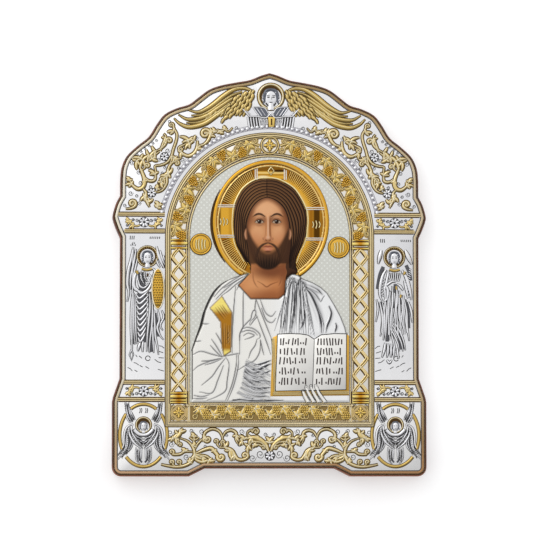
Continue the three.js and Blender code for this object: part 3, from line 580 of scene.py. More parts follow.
dark_curls = [
    (-80.2, 121.9, 1.1), (-59.0, 109.0, 1.3), (-26.5, 117.0, 1.2), (-69.6, 91.2, 1.3), (-81.8, 98.6, 1.3),
    (-110.4, 88.4, 1.1), (-105.1, 81.0, 1.1), (-94.9, 83.5, 1.0), (-88.7, 91.4, 1.1), (-103.4, 72.6, 1.1),
    (-111.2, 64.1, 1.3), (-104.3, 56.3, 1.1), (-115.9, 54.5, 1.0), (-83.8, 85.1, 1.0),
    (-3.3, -128.2, 1.1), (-7.5, -143.9, 2.2), (-13.7, -147.0, 1.9), (-22.1, -126.0, 1.5),
              (-24.3, -136.1, 1.2),
    (-34.4, -128.8, 0.9), (-54.1, -126.0, 1.5), (-62.3, -125.4, 1.2), (-79.3, -127.1, 1.7),
    (-78.2, -136.1, 1.5), (-66.4, -146.2, 1.7), (-51.3, -137.8, 1.0),
    (-106.0, 95.2, 0.8), (-103.0, 97.8, 0.8), (-99.8, 100.0, 0.8), (-96.6, 102.4, 0.8), (-93.6, 104.6, 0.8),
    (-90.8, 106.8, 0.8), (-86.0, 80.5, 1.0), (-95.4, 69.6, 0.9), (-72.8, 84.6, 1.0), (-106.4, 62.2, 0.9),
]
gilt_lines = []
for x, y, radius, start, turns, width, tail in crown_curls + foot_curls:
    points = volute(x, y, radius, start, turns, tail)
    gilt_lines.append((points, tapered(len(points), width, 0.8, 0.35, 0.6)))
    gilt_lines.append((np.array([(x - 0.3, y), (x, y), (x + 0.3, y)]), 0.42 * radius + 0.4))
for width, points in crown_stems + foot_stems:
    points = smooth_line(points, 0.8)
    gilt_lines.append((points, tapered(len(points), width, 0.45, 0.25, 0.5)))
for x, y, heading, length in crown_leaves + foot_leaves:
    gilt_lines += leaf(x, y, heading, 1.15 * length)
gilt_lines = both_sides([(points, 1.1 * np.array(widths)) for points, widths in gilt_lines])
silver_lines = []
for x, y, radius in ((-84.3, 93.7, 3.2), (-94.5, 64.7, 3.4), (84.3, 93.7, 3.2), (94.5, 64.7, 3.4),
                     (0.2, -145.1, 3.6)):
    silver_lines += rosette(x, y, radius, 7)
    hollow = plate("rosette_hollow", circle(x, y, 1.15 * radius, 20), sheet_top - 0.1, sheet_top + 0.12)
    finish_piece(hollow, oxide_and_shade, on_sheet, 30)
curl_lines = []
for x, y, radius in dark_curls:
    radius *= 1.5
    points = volute(x, y, radius, -60, 1.25, [(x + radius * 1.1, y + radius * 0.2)])
    curl_lines.append((points, tapered(len(points), 0.6, 0.8, 0.5)))
curl_lines = both_sides(curl_lines)


def widened(lines, margin):
    return [(points, np.broadcast_to(widths, len(points)) + margin) for points, widths in lines]


def shadowed(name, lines, low, flat, finish, where, margin=0.7):
    """Raised lines with a dark edge round each: patina in the hollow beside the line, and painted shade."""
    laid(name, lines, low, finish, where, flat)
    laid(name + "_ground", widened(lines, margin), low, warm_brown if "gilt" in where else oxide_and_shade, where, 0.1)


def lit_crest(name, lines, low, finish, where, share, shift=(-0.2, 0.2)):
    """A painted highlight: a thin pale line along the crest of each raised line, on the side to the light."""
    crests = [(np.array(points) + shift, share * np.broadcast_to(widths, len(points)))
              for points, widths in lines]
    laid(name, crests, low, finish, where, 0.8)


shadowed("gilt_scrolls", gilt_lines, sheet_top, 0.7, scroll_gilt, on_sheet_gilt, 1.45)
lit_crest("scroll_crests", gilt_lines, sheet_top + 0.62, pale_crest, on_sheet_gilt, 0.22)
shadowed("rosettes", silver_lines, sheet_top, 0.5, silver, on_sheet, 1.2)
laid("small_curls", curl_lines, sheet_top, oxide_and_shade, on_sheet, 0.5, angle=40)

# The row of pearls round the arch: half-round studs pressed up in the silver, in a shallow
# channel between two fine lines.
pearl_ring = 88.5
lowest = math.asin((49.5 - spring) / pearl_ring)
count = int((math.pi - 2 * lowest) * pearl_ring / 4.0)
pearls = []
for k in range(count + 1):
    turn = lowest + (math.pi - 2 * lowest) * k / count
    pearls.append((pearl_ring * math.cos(turn), spring + pearl_ring * math.sin(turn)))


def studs(name, places, radius, low, finish, where, segments=8, rings=5, flat=0.85):
    """Small round studs, one modelled and the rest copied."""
    clean_slate()
    bpy.ops.mesh.primitive_uv_sphere_add(segments=segments, ring_count=rings, radius=radius * MM)
    first = bpy.context.object
    first.data.transform(Matrix.Diagonal((1, 1, flat, 1)))
    copies = []
    for x, y in places:
        one = first.copy()
        one.data = first.data.copy()
        one.location = (x * MM, y * MM, low * MM)
        bpy.context.collection.objects.link(one)
        copies.append(one)
    bpy.data.objects.remove(first)
    clean_slate()
    for one in copies:
        one.select_set(True)
    bpy.context.view_layer.objects.active = copies[0]
    bpy.ops.object.join()
    piece = bpy.context.object
    piece.name = name
    finish_piece(piece, finish, where, 60)


studs("pearl_row", pearls, 1.42, sheet_top, silver, on_sheet, 16, 10, 0.5)
row = [lowest + (math.pi - 2 * lowest) * k / 200 for k in range(201)]
row_lines = []
for reach, width in ((pearl_ring, 2.2), (pearl_ring - 1.75, 0.7), (pearl_ring + 1.75, 0.5)):
    row_lines.append(([(reach * math.cos(turn), spring + reach * math.sin(turn)) for turn in row], width))
laid("pearl_channel", row_lines, sheet_top, pearl_grey, on_sheet, 0.1)

# The winged head over the arch: long gilt feathers that sweep down each side, rows of small
# feathers over them, and silver drapery that falls in dark flutes below the halo.
def small_feathers(x, y, heading, length, width):
    turn = math.radians(heading)
    ends = [(x + length * share * math.cos(turn + 0.3 * share),
             y + length * share * math.sin(turn + 0.3 * share))
            for share in (0, 0.35, 0.7, 1)]
    return (np.array(ends), np.array([0.55, 1, 0.8, 0.25]) * width)


long_feathers = [
    (3.6, [(-13.6, 146.2), (-18.9, 148.8), (-25.4, 149.0), (-31.2, 146.8), (-37.7, 142.3), (-45.0, 136.2),
           (-51.6, 131.9), (-58.1, 129.6), (-66.3, 131.7)]),
    (3.4, [(-24.5, 143.6), (-32.0, 139.6), (-41.8, 132.9), (-49.9, 127.2), (-58.1, 124.3), (-66.3, 123.9),
           (-73.4, 127.6)]),
    (3.8, [(-28.6, 138.5), (-36.0, 132.0), (-43.4, 126.4), (-51.6, 120.9), (-59.7, 118.2), (-66.3, 117.8),
           (-72.8, 120.7), (-76.9, 124.7)]),
    (2.2, [(-22.0, 146.2), (-30.0, 143.4), (-38.5, 137.6), (-47.0, 131.2), (-55.0, 127.4), (-63.0, 126.9)]),
    (2.2, [(-26.5, 140.8), (-34.0, 135.4), (-42.0, 129.4), (-50.0, 123.9), (-58.0, 121.2), (-67.0, 121.0)]),
]
layers = [[], [], []]
for index, (width, line) in enumerate(long_feathers):
    line = smooth_line(line, 1.0)
    layers[1 if index > 2 else 0].append((line, tapered(len(line), width, 0.45, 0.12, 0.55)))
layers[0] += [small_feathers(-19.0 - 2.9 * k, 130.2 - 0.06 * k * k + 0.2 * k, 222 - 2 * k, 4.8, 1.9)
              for k in range(11)]
layers[2] += [small_feathers(-24.0 - 3.1 * k, 134.6 - 0.75 * k, 218, 4.6, 1.8) for k in range(9)]
for row in range(4, -1, -1):
    layers.append([
        small_feathers(-12.5 - 2.9 * k - 0.9 * row, 147.6 - 0.55 * k - 3.3 * row - 0.12 * k * k,
                       232 - 3 * k + (12 if (k + row) % 2 else -8), 4.6, 2.0 + 0.5 * ((k + 2 * row) % 3))
        for k in range(6 + row // 2)
    ])
for index, layer in enumerate(layers):
    level = sheet_top + 0.22 * index
    shadowed("wing_layer", both_sides(layer), level, 0.5 if index < 2 else 0.4, pale_gilt, on_sheet_gilt, 1.3)
    lit_crest("wing_crests", both_sides(layer), level + (0.6 if index < 2 else 0.32), bright_gilt,
              on_sheet_gilt, 0.25, (-0.35, 0.3))
folded = [(-13.4, 133.6), (-4.6, 133.0), (-1.4, 128.8), (-2.6, 126.2), (-9.4, 127.0)]
pale_cloth = [(-21.8, 132.4), (-13.8, 133.6), (-9.0, 127.0), (-17.2, 126.8)]
shade = [(-16.8, 126.4), (-7.8, 126.4), (-7.6, 117.0), (-15.4, 118.4)]
for side in (-1, 1):
    for cloth, finish, high in ((pale_cloth, silver, 0.7), (folded, cloth_grey, 0.9), (shade, oxide_and_shade, 0.12)):
        piece = plate("cloth", [(0.8 - side * (x - 0.8), y) for x, y in cloth], sheet_top, sheet_top + high,
                      0.1, 1)
        finish_piece(piece, finish, on_sheet, 30)
edges, flutes = [], []
for side in (-1, 1):
    def swung(line, width, side=side):
        return (smooth_line([(0.8 - side * (x - 0.8), y) for x, y in line], 0.8), width)
    edges += [swung([(-22.0, 132.6), (-16.6, 126.6)], 0.9),
              swung([(-16.8, 126.4), (-9.6, 126.2), (-3.4, 125.2), (0.6, 128.6)], 1.0)]
    edges += [swung([(-13.4, 133.6), (-8.6, 126.8)], 0.9), swung([(-10.6, 133.2), (-6.4, 127.0)], 0.8)]
    edges += [swung([(-13.0, 134.0), (-4.8, 133.4), (-1.2, 129.0)], 0.8),
              swung([(-7.4, 132.8), (-3.6, 127.2)], 0.5)]
    edges += [swung([(-19.6, 131.4 - k), (-15.4, 128.2 - 0.4 * k)], 0.45) for k in range(3)]
    for k in range(5):
        x = -17.6 + 2.2 * k
        flutes.append(swung([(x, 126.0), (x + 0.5, 121.8), (x + 1.3, 117.4)], 1.05 if k else 1.5))
    for k in range(2):
        x = -6.2 + 2.6 * k
        flutes.append(swung([(x - 0.9, 118.4), (x - 0.7, 122.4), (x, 124.0), (x + 0.7, 122.4),
                             (x + 0.9, 118.4)], 0.7))
shadowed("cloth_edges", edges, sheet_top + 0.8, 0.7, silver, on_sheet, 0.3)
shadowed("flutes", flutes, sheet_top + 0.1, 0.9, silver, on_sheet, 0.5)
clasp = plate("clasp", [(-1.4, 126.0), (4.2, 126.0), (3.6, 118.0), (-0.8, 118.0)], sheet_top,
              sheet_top + 1.0, 0.3, 2)
finish_piece(clasp, vine_gilt, on_sheet_gilt, 30)
clasp_lines = [([(-1.8, 126.3), (-1.1, 117.6)], 0.5), ([(4.6, 126.3), (3.9, 117.6)], 0.5),
               ([(1.4, 124.6), (1.4, 119.4)], 1.6),
               ([(-1.2, 126.4), (4.2, 126.4)], 0.5)]
laid("clasp_lines", [(np.array(line), width) for line, width in clasp_lines], sheet_top + 0.9, brown_patina_and_shade,
     on_sheet_gilt, 0.3)


def small_face(name, x, y, across, tall, halo, ring, halo_y, back=(0.5, -0.9), dots=0):
    """A small general face: an oval with brow, nose and mouth, in dark locks and a gilt halo."""
    middle_y = y + halo_y
    disc = plate(name + "_disc", circle(x, middle_y, halo - 0.3, 36), sheet_top - 0.2, sheet_top + 0.3)
    finish_piece(disc, brown_patina_and_shade, on_sheet_gilt, 30)
    inner = halo - ring - 0.9 if not dots else 0.7 * halo
    disc = plate(name + "_back", circle(x + back[0], middle_y + back[1], inner, 36), sheet_top,
                 sheet_top + 0.5, 0.1, 1)
    finish_piece(disc, silver, on_sheet, 30)
    laid(name + "_halo", [(circle(x, middle_y, halo - ring / 2, 40), ring)], sheet_top + 0.3, pale_gilt,
         on_sheet_gilt, 0.7, 2, True)
    # A painted highlight along the halo's ring.
    laid(name + "_crest", [(circle(x - 0.15, middle_y + 0.15, halo - ring / 2, 40), 0.35 * ring)],
         sheet_top + 0.3 + 0.3 * ring, pale_crest, on_sheet_gilt, 0.7, 1, True)
    laid(name + "_seam", [(circle(x, middle_y, halo + 0.1, 40), 0.8)], sheet_top, brown_patina_and_shade,
         on_sheet_gilt, 0.4, 1, True)
    if dots:
        band = circle(x, middle_y, 0.83 * halo, dots)
        laid(name + "_dots", [(np.array([p, p + (0.3, 0)]), 0.85) for p in band], sheet_top + 0.3,
             vine_gilt, on_sheet_gilt, 0.8)
    locks = []
    for side in (-1, 1):
        locks.append((smooth_line([(x, y + 1.16 * tall), (x + side * 0.75 * across, y + 0.98 * tall),
                                   (x + side * 1.15 * across, y + 0.3 * tall),
                                   (x + side * 1.1 * across, y - 0.55 * tall)], 0.5),
                      0.5 * across))
        locks.append((smooth_line([(x, y + 1.0 * tall), (x + side * 0.7 * across, y + 0.75 * tall),
                                   (x + side * 1.0 * across, y - 0.1 * tall),
                                   (x + side * 1.3 * across, y - 0.8 * tall)], 0.5),
                      0.35 * across))
    laid(name + "_hair", [(line, tapered(len(line), width, 0.7, 0.5)) for line, width in locks],
         sheet_top + 0.8, cloth_grey, on_sheet, 0.8)
    curls = []
    for side in (-1, 1):
        for share in (0.05, 0.3, 0.55, 0.8):
            cx = x + side * across * (1.22 - 0.75 * share ** 2)
            cy = y + tall * (1.3 * share - 0.35)
            curls.append((np.array([(cx, cy), (cx + 0.25 * side * across, cy + 0.15 * tall)]), 0.22 * across))
    laid(name + "_curls", curls, sheet_top + 1.1, silver, on_sheet, 0.8)
    laid(name + "_neck", [(np.array([(x, y - 0.6 * tall), (x, y - 1.45 * tall)]),
                           np.array([1.0, 1.3]) * across)], sheet_top + 0.35, silver, on_sheet, 0.5)
    clean_slate()
    bpy.ops.mesh.primitive_uv_sphere_add(segments=20, ring_count=12, radius=MM,
                                         location=(x * MM, y * MM, (sheet_top + 0.7) * MM))
    face = bpy.context.object
    face.name = name + "_face"
    face.scale = (across, tall, 0.85)
    finish_piece(face, silver, on_sheet, 60)
    marks = []
    for side in (-1, 1):
        marks.append((np.array([(x + side * 0.22 * across, y + 0.14 * tall),
                                (x + side * 0.6 * across, y + 0.14 * tall)]),
                      0.24 * across))
        marks.append((np.array([(x + side * 0.16 * across, y + 0.38 * tall),
                                (x + side * 0.66 * across, y + 0.36 * tall)]),
                      0.12 * across))
        marks.append((np.array([(x + side * 0.5 * across, y - 0.95 * tall),
                                (x + side * 0.85 * across, y - 0.6 * tall)]),
                      0.16 * across))
    marks.append((np.array([(x + 0.1 * across, y + 0.2 * tall), (x + 0.14 * across, y - 0.2 * tall)]),
                  0.13 * across))
    marks.append((np.array([(x - 0.24 * across, y - 0.5 * tall), (x + 0.24 * across, y - 0.5 * tall)]),
                  0.16 * across))
    laid(name + "_features", marks, sheet_top + 1.38, oxide_and_shade, on_sheet, 0.6)


small_face("crown_head", 0.9, 141.0, 4.9, 6.4, 11.0, 2.3, 1.4)

# The standing angel on each side: folded robe and wings in silver over a darkened ground, with
# a gilt halo and collar. The left one also has a tall staff and an oval shield.
angel_folds = [
    (2.6, [(-106.2, 2.1), (-108.2, -3.7), (-108.6, -9.2), (-106.6, -13.4), (-102.0, -14.6)]),
    (2.2, [(-107.0, -11.5), (-103.1, -15.7), (-98.1, -13.4), (-95.0, -8.4), (-94.0, -1.4)]),
    (1.6, [(-105.1, -5.3), (-103.9, -9.9), (-100.4, -11.5), (-96.5, -8.0)]),
    (1.4, [(-103.1, 1.7), (-102.7, -3.7), (-100.4, -8.4)]),
    (1.4, [(-100.4, 1.7), (-100.0, -2.9), (-98.1, -6.8)]),
    (2.0, [(-93.8, 4.0), (-91.9, 2.1), (-92.6, -2.2), (-93.8, -8.4)]),
    (2.2, [(-103.5, -55.3), (-104.7, -59.2), (-105.3, -62.3)]),
    (1.8, [(-101.2, -54.2), (-101.6, -59.2), (-101.4, -62.9)]),
    (1.5, [(-96.0, -16.1), (-95.7, -27.0), (-96.8, -39.4), (-97.8, -50.3), (-98.3, -62.7)]),
    (1.5, [(-94.0, -20.8), (-93.7, -33.2), (-94.4, -44.1), (-95.7, -54.2), (-96.0, -63.5)]),
    (1.5, [(-92.3, -29.3), (-91.9, -39.4), (-91.3, -50.3), (-89.8, -58.0), (-88.8, -65.0)]),
    (1.3, [(-93.4, -42.5), (-93.2, -52.6), (-92.6, -63.5)]),
    (1.6, [(-89.5, -29.3), (-88.2, -37.1), (-89.8, -43.3), (-87.6, -49.5), (-84.8, -53.0)]),
    (1.4, [(-86.4, -29.3), (-84.7, -34.8), (-87.4, -41.4), (-85.3, -45.6)]),
    (2.2, [(-109.5, 19.2), (-111.3, 9.5), (-113.1, 1.7), (-113.8, -8.4), (-112.6, -15.4), (-113.8, -22.7)]),
    (1.8, [(-107.0, 19.6), (-107.8, 13.4), (-109.5, 4.8), (-111.2, -3.7), (-111.5, -13.0)]),
    (1.5, [(-105.8, 11.8), (-107.8, 2.5), (-109.5, -5.3), (-109.9, -14.6)]),
    (1.3, [(-109.9, -16.1), (-110.6, -27.0), (-110.9, -42.5), (-110.6, -57.3)]),
    (1.3, [(-108.7, -15.4), (-108.7, -28.6), (-108.6, -42.5), (-107.8, -56.9)]),
    (1.3, [(-107.6, -18.5), (-107.3, -30.9), (-107.0, -43.3), (-106.2, -56.5)]),
    (2.2, [(-90.5, 21.7), (-89.3, 15.7), (-87.0, 9.5), (-84.5, 4.2)]),
    (1.7, [(-87.9, 18.6), (-86.4, 12.6), (-84.0, 7.1)]),
    (1.4, [(-85.3, 14.7), (-84.0, 10.2)]),
    (1.4, [(-90.9, 11.8), (-89.5, 7.9), (-87.6, 4.7)]),
    (1.7, [(-107.0, -16.5), (-104.1, -19.8), (-100.0, -16.8), (-96.3, -12.6)]),
    (1.7, [(-106.8, -20.9), (-104.0, -24.1), (-100.2, -21.2), (-96.7, -17.0)]),
    (1.7, [(-106.5, -25.2), (-103.9, -28.5), (-100.3, -25.5), (-97.1, -21.3)]),
    (1.7, [(-106.3, -29.6), (-103.8, -32.8), (-100.5, -29.9), (-97.5, -25.7)]),
    (1.7, [(-106.1, -33.9), (-103.7, -37.2), (-100.6, -34.2), (-97.8, -30.0)]),
    (1.7, [(-105.8, -38.3), (-103.7, -41.5), (-100.8, -38.6), (-98.2, -34.4)]),
    (1.7, [(-105.6, -42.6), (-103.6, -45.9), (-100.9, -42.9), (-98.6, -38.7)]),
    (1.7, [(-105.4, -46.9), (-103.5, -50.2), (-101.1, -47.3), (-99.0, -43.1)]),
    (1.7, [(-105.1, -51.3), (-103.4, -54.5), (-101.3, -51.6), (-99.4, -47.4)]),
]
angel_darks = [
    (5.5, [(-103.1, 0.9), (-102.0, -8.4), (-102.0, -14.6)]),
    (7.5, [(-102.0, -15.4), (-102.0, -27.0), (-102.0, -42.5), (-102.7, -54.9)]),
    (4.5, [(-95.4, -14.6), (-94.6, -34.8), (-95.4, -50.3), (-94.6, -62.7)]),
    (3.0, [(-91.9, -31.7), (-89.9, -42.5), (-88.4, -50.3)]),
    (3.2, [(-108.6, 17.2), (-110.5, 2.5), (-111.7, -13.0)]),
    (2.6, [(-106.2, 13.4), (-107.0, 5.6)]),
    (3.2, [(-88.8, 17.2), (-86.0, 9.5), (-84.5, 4.8)]),
    (2.4, [(-108.9, -17.7), (-108.6, -34.8), (-108.6, -56.5)]),
]
robed_folds = [
    (3.2, [(89.5, 19.3), (88.4, 14.5), (87.0, 8.1)]),
    (3.2, [(108.8, 19.3), (111.2, 14.0), (114.2, 7.8)]),
    (2.6, [(93.2, 3.6), (90.5, -1.5), (88.7, -9.5), (88.4, -16.7), (90.2, -21.5)]),
    (2.0, [(95.2, 2.9), (93.9, -5.1), (92.1, -13.1), (91.9, -18.4)]),
    (2.6, [(105.9, 3.3), (109.5, -2.4), (111.9, -10.4), (113.3, -16.7), (113.6, -20.7)]),
    (1.8, [(91.2, -11.3), (95.2, -7.8), (98.8, -5.8), (101.2, -6.7)]),
    (2.2, [(92.1, -7.8), (94.8, -13.1), (93.9, -20.2), (91.2, -21.5)]),
    (1.8, [(107.2, -13.1), (104.6, -9.5), (101.9, -7.8)]),
    (2.0, [(108.1, -5.1), (109.9, -13.1), (111.2, -19.3)]),
    (1.4, [(85.7, -20.2), (86.8, -28.2), (85.2, -38.4)]),
    (1.6, [(88.1, -22.0), (90.2, -32.7), (90.3, -41.6), (88.6, -50.0)]),
    (1.4, [(90.5, -22.9), (92.1, -32.7), (91.9, -43.3), (91.1, -53.1)]),
    (1.3, [(93.0, -22.0), (93.7, -32.7), (93.0, -43.3), (93.0, -53.1)]),
    (1.4, [(98.3, -9.5), (98.8, -20.2), (97.5, -30.9), (96.6, -41.6), (95.9, -53.1)]),
    (1.6, [(101.7, -9.5), (102.3, -20.2), (100.6, -30.9), (98.8, -38.9)]),
    (1.5, [(103.9, -13.1), (103.9, -23.8), (103.9, -34.4), (105.9, -43.3)]),
    (1.4, [(105.9, -16.7), (106.8, -27.3), (105.9, -36.2), (108.1, -46.9)]),
    (1.4, [(108.1, -20.2), (109.9, -30.9), (110.3, -41.6), (111.9, -53.6)]),
    (1.6, [(111.2, -22.0), (113.6, -30.0), (114.5, -38.9)]),
    (1.2, [(96.6, -43.3), (99.7, -48.7), (102.8, -55.8), (103.9, -62.0)]),
    (1.2, [(98.3, -40.7), (101.9, -46.9), (105.5, -54.9), (106.8, -62.0)]),
    (1.2, [(100.1, -38.9), (103.9, -45.1), (107.2, -53.1), (108.8, -61.1)]),
    (1.2, [(97.5, -47.8), (99.2, -54.0), (100.8, -61.1)]),
    (2.0, [(92.6, -54.9), (91.7, -61.1), (89.9, -66.9)]),
    (1.8, [(94.8, -55.3), (94.8, -62.0), (93.9, -66.9)]),
    (1.8, [(97.3, -55.8), (97.3, -62.0), (97.0, -66.9)]),
    (1.6, [(99.7, -57.6), (99.4, -62.9), (99.7, -67.3)]),
    (1.6, [(102.1, -59.3), (102.6, -63.8), (103.5, -67.8)]),
    (1.8, [(93.9, -68.7), (95.9, -71.1), (97.9, -68.7)]),
]
robed_darks = [
    (3.0, [(91.2, 6.0), (88.6, 0.0), (87.2, -7.0), (86.4, -12.0)]),
    (3.0, [(109.5, 7.3), (112.1, 1.1), (113.0, -5.1)]),
    (2.6, [(100.6, -7.8), (100.8, -18.4), (100.3, -27.3)]),
    (3.0, [(95.9, -13.1), (95.0, -25.6), (94.6, -39.8), (94.1, -54.0)]),
    (2.4, [(105.0, -20.2), (102.8, -30.9), (101.9, -39.8)]),
    (2.2, [(89.3, -22.0), (90.5, -32.7), (89.5, -46.0)]),
    (2.2, [(108.6, -20.2), (111.2, -30.9), (111.7, -43.3)]),
    (3.4, [(100.6, -41.6), (103.9, -50.4), (106.3, -60.2)]),
]
ground_marks = [
    [(-108.6, -71.1), (-106.6, -71.6), (-104.5, -73.2)],
    [(-103.9, -73.4), (-101.4, -74.7)],
    [(-99.2, -74.2), (-96.3, -75.9)],
    [(-113.4, -75.0), (-111.3, -76.0), (-109.7, -77.8)],
    [(-107.8, -77.1), (-105.6, -78.4)],
    [(-91.9, -68.5), (-89.2, -70.6), (-86.7, -71.2)],
    [(-88.7, -67.2), (-84.5, -67.5)],
    [(-89.2, -61.9), (-85.1, -63.3)],
    [(-88.5, -57.7), (-86.4, -58.0), (-84.3, -59.7)],
    [(-89.3, -76.5), (-84.5, -77.9)],
    [(-107.0, -65.0), (-105.8, -66.7)],
    [(-104.3, -65.8), (-102.0, -67.7)],
]


def widths_for(line, width):
    return (line, tapered(len(line), width, 0.45, 0.25, 0.45))


for side, name, fold_lines, dark_lines, neck_x in (
    (-1, "left_angel", angel_folds, angel_darks, -98.2), (1, "right_angel", robed_folds, robed_darks, 100.4),
):
    patches = [(smooth_line(line, 1.5), width) for width, line in dark_lines]
    laid(name + "_darks", patches, sheet_top, dark_silver, on_sheet, 0.08)
    folds = [widths_for(smooth_line(line, 1.0), width) for width, line in fold_lines]
    shadowed(name + "_folds", folds, sheet_top + 0.2, 0.8, silver, on_sheet, 0.8)
    if side > 0:
        pleats = []
        for k in range(9):
            top, foot = 93.2 + 1.75 * k, 90.4 + 2.5 * k
            pleats.append((smooth_line([(top, -13.0 - 0.5 * k),
                                        (0.6 * top + 0.4 * foot + 0.7 * math.sin(2.1 * k), -27.0),
                                        (foot, -48.0 - 1.2 * math.sin(1.3 * k))], 1.0), 1.0))
        for k in range(6):
            pleats.append((smooth_line([(95.4 + 1.9 * k, 1.2), (96.2 + 1.6 * k, -2.6),
                                        (97.6 + 1.1 * k, -6.0)], 0.8), 0.8))
            pleats.append((np.array([(89.2 - 0.1 * k, -3.0 - 2.6 * k), (92.2 - 0.1 * k, -4.6 - 2.6 * k)]),
                           0.7))
            pleats.append((np.array([(111.6 + 0.3 * k, -4.0 - 2.6 * k), (109.0 + 0.2 * k, -5.8 - 2.6 * k)]),
                           0.7))
            pleats.append((np.array([(111.8 - 0.2 * k, 4.2 - 1.7 * k), (113.6 - 0.2 * k, 3.2 - 1.7 * k)]),
                           0.9))
        shadowed(name + "_pleats", pleats, sheet_top + 0.12, 0.7, silver, on_sheet, 0.8)
    if side < 0:
        staff = [(np.array([(-109.3, 21.0), (-110.1, -62.0)]), 0.9)]
        staff += [(smooth_line([(-109.3 + dx, 22.3), (-109.3 + 1.7 * dx, 23.4 + dy)], 0.6), 0.9)
                  for dx, dy in ((-1, 0), (1, 0), (0.2, 1.6))]
        staff.append((np.array([(-110.5, -60.8), (-108.9, -64.6), (-110.3, -69.7), (-112.0, -65.0),
                                (-110.5, -60.8)]), 0.7))
        shadowed(name + "_staff", staff, sheet_top + 0.4, 0.8, silver, on_sheet, 0.7)
    gilt = [(smooth_line([(neck_x - 4.2, 3.6), (neck_x, 2.7), (neck_x + 4.0, 3.6)], 1), 1.9)]
    gilt.append((np.array([(neck_x + 8.4 * side, 2.0), (neck_x + 7.2 * side, -0.4)]), np.array([2.2, 1.4])))
    if side > 0:
        gilt += [(np.array([(101.4, -9.6), (101.6, -12.4)]), 1.2),
                 (np.array([(105.2, -16.4), (104.8, -18.8)]), 1.4)]
    shadowed(name + "_collar", gilt, sheet_top + 1.1, 0.7, pale_gilt, on_sheet_gilt, 0.5)
    if side < 0:
        laid(name + "_brooch", [(np.array([(-98.4, -1.3), (-97.0, -1.5)]), 2.6)], sheet_top + 1.2,
             brown_patina_and_shade, on_sheet_gilt, 0.5)
    marks = [(np.array(line) * (-side, 1), 0.6) for line in ground_marks]
    marks += [(circle(neck_x + 0.9, -67.7, 1.9, 14), 0.7)]
    tall_x, row_x, mark_y = (-111.4, -95.5, 28.6) if side < 0 else (88.9, 105.4, 26.8)
    for x, tall in [(tall_x + 1.5 * k, 1.5) for k in range(3)] + [(row_x + 1.5 * k, 0.9) for k in range(6)]:
        marks.append((np.array([(x, mark_y + tall), (x + 0.3 * side, mark_y - tall)]), 0.7))
    laid(name + "_marks", marks, sheet_top, oxide_and_shade, on_sheet, 0.4)
    small_face(name, neck_x + 0.4 * -side, 12.2, 3.4, 4.9, 8.5, 0.9, 1.4, (0, 0), 26)
    if side < 0:
        mail = [(-103.4 + 1.45 * k + 0.7 * (row % 2), 0.4 - 1.35 * row) for row in range(7) for k in range(6)]
        mail = [(np.array([(mx - 0.3, my), (mx + 0.3, my - 0.2)]), 0.5) for mx, my in mail]
        laid(name + "_mail", mail, sheet_top + 0.9, oxide_and_shade, on_sheet, 0.4)


shield_x, shield_y = -89.3, -12.3
shield = plate("shield", oval(shield_x, shield_y, 5.3, 16.4), sheet_top - 0.2, sheet_top + 1.3, 0.6, 2)
finish_piece(shield, rich_gilt, on_sheet_gilt, 30)
laid("shield_rim", [(oval(shield_x, shield_y, 4.8, 15.9), 0.9)], sheet_top + 1.1, pale_crest, on_sheet_gilt,
     0.7, 1, True)
laid("shield_line", [(oval(shield_x, shield_y, 4.0, 14.8), 0.45)], sheet_top + 1.25, brown_patina_and_shade,
     on_sheet_gilt, 0.5, 1, True)
scales = []
for row in range(14):
    y = shield_y + 2.0 * (row - 6.5)
    half = 3.4 * math.sqrt(1 - ((row - 6.5) / 7.2) ** 2)
    for k in range(4):
        x = shield_x + half * (k - 1.5) / 1.6 + (0.4 if row % 2 else -0.4)
        scales.append((np.array([(x - 0.6, y + 0.5), (x, y - 0.5), (x + 0.6, y + 0.5)]), 0.65))
laid("shield_scales", scales, sheet_top + 1.3, warm_brown, on_sheet_gilt, 0.6)

# The winged figure in a gilt oval at each foot: six silver wings crossed over darkened
# ground, round a small face and halo.
seraph_feathers = [
    (1.5, [(-108.1, -117.7), (-110.3, -113.0), (-111.7, -108.1), (-112.6, -103.6)]),
    (1.5, [(-109.7, -118.5), (-112.5, -113.6), (-113.7, -108.5), (-114.4, -102.4)]),
    (1.2, [(-106.7, -116.8), (-108.7, -113.2), (-110.5, -109.9), (-111.5, -106.5)]),
    (1.3, [(-110.9, -119.2), (-113.1, -115.2), (-113.9, -111.3)]),
    (1.6, [(-108.3, -120.0), (-112.1, -121.6), (-114.5, -124.8), (-115.6, -131.1), (-115.9, -137.1),
        (-120.3, -145.1)]),
    (1.5, [(-111.5, -122.4), (-113.2, -128.0), (-113.9, -134.3), (-115.1, -140.7), (-120.5, -148.3)]),
    (1.4, [(-112.7, -129.6), (-112.7, -135.1), (-113.9, -140.3), (-117.9, -146.3)]),
    (1.3, [(-111.0, -131.1), (-110.7, -135.9), (-112.3, -140.3), (-115.4, -144.1)]),
    (1.2, [(-109.5, -133.5), (-109.1, -136.7), (-110.7, -139.9), (-113.1, -142.5)]),
    (1.9, [(-111.8, -122.8), (-111.0, -128.8), (-107.9, -134.3), (-103.6, -138.1), (-100.8, -139.9)]),
    (1.6, [(-108.7, -120.2), (-109.8, -124.0), (-108.7, -128.0), (-105.2, -132.3), (-100.4, -134.7)]),
    (1.3, [(-107.7, -127.2), (-105.2, -130.0), (-102.0, -131.5), (-100.0, -132.1)]),
    (1.2, [(-108.3, -129.6), (-105.6, -133.1), (-102.0, -136.3), (-100.0, -137.5)]),
    (1.2, [(-105.2, -128.0), (-102.8, -129.6), (-100.0, -130.1)]),
    (1.3, [(-106.0, -138.5), (-106.0, -143.9), (-105.4, -148.6), (-102.8, -151.8)]),
    (1.3, [(-103.9, -139.3), (-104.2, -144.3), (-103.6, -148.4)]),
    (1.3, [(-101.8, -139.7), (-102.1, -143.9), (-101.9, -148.2)]),
]
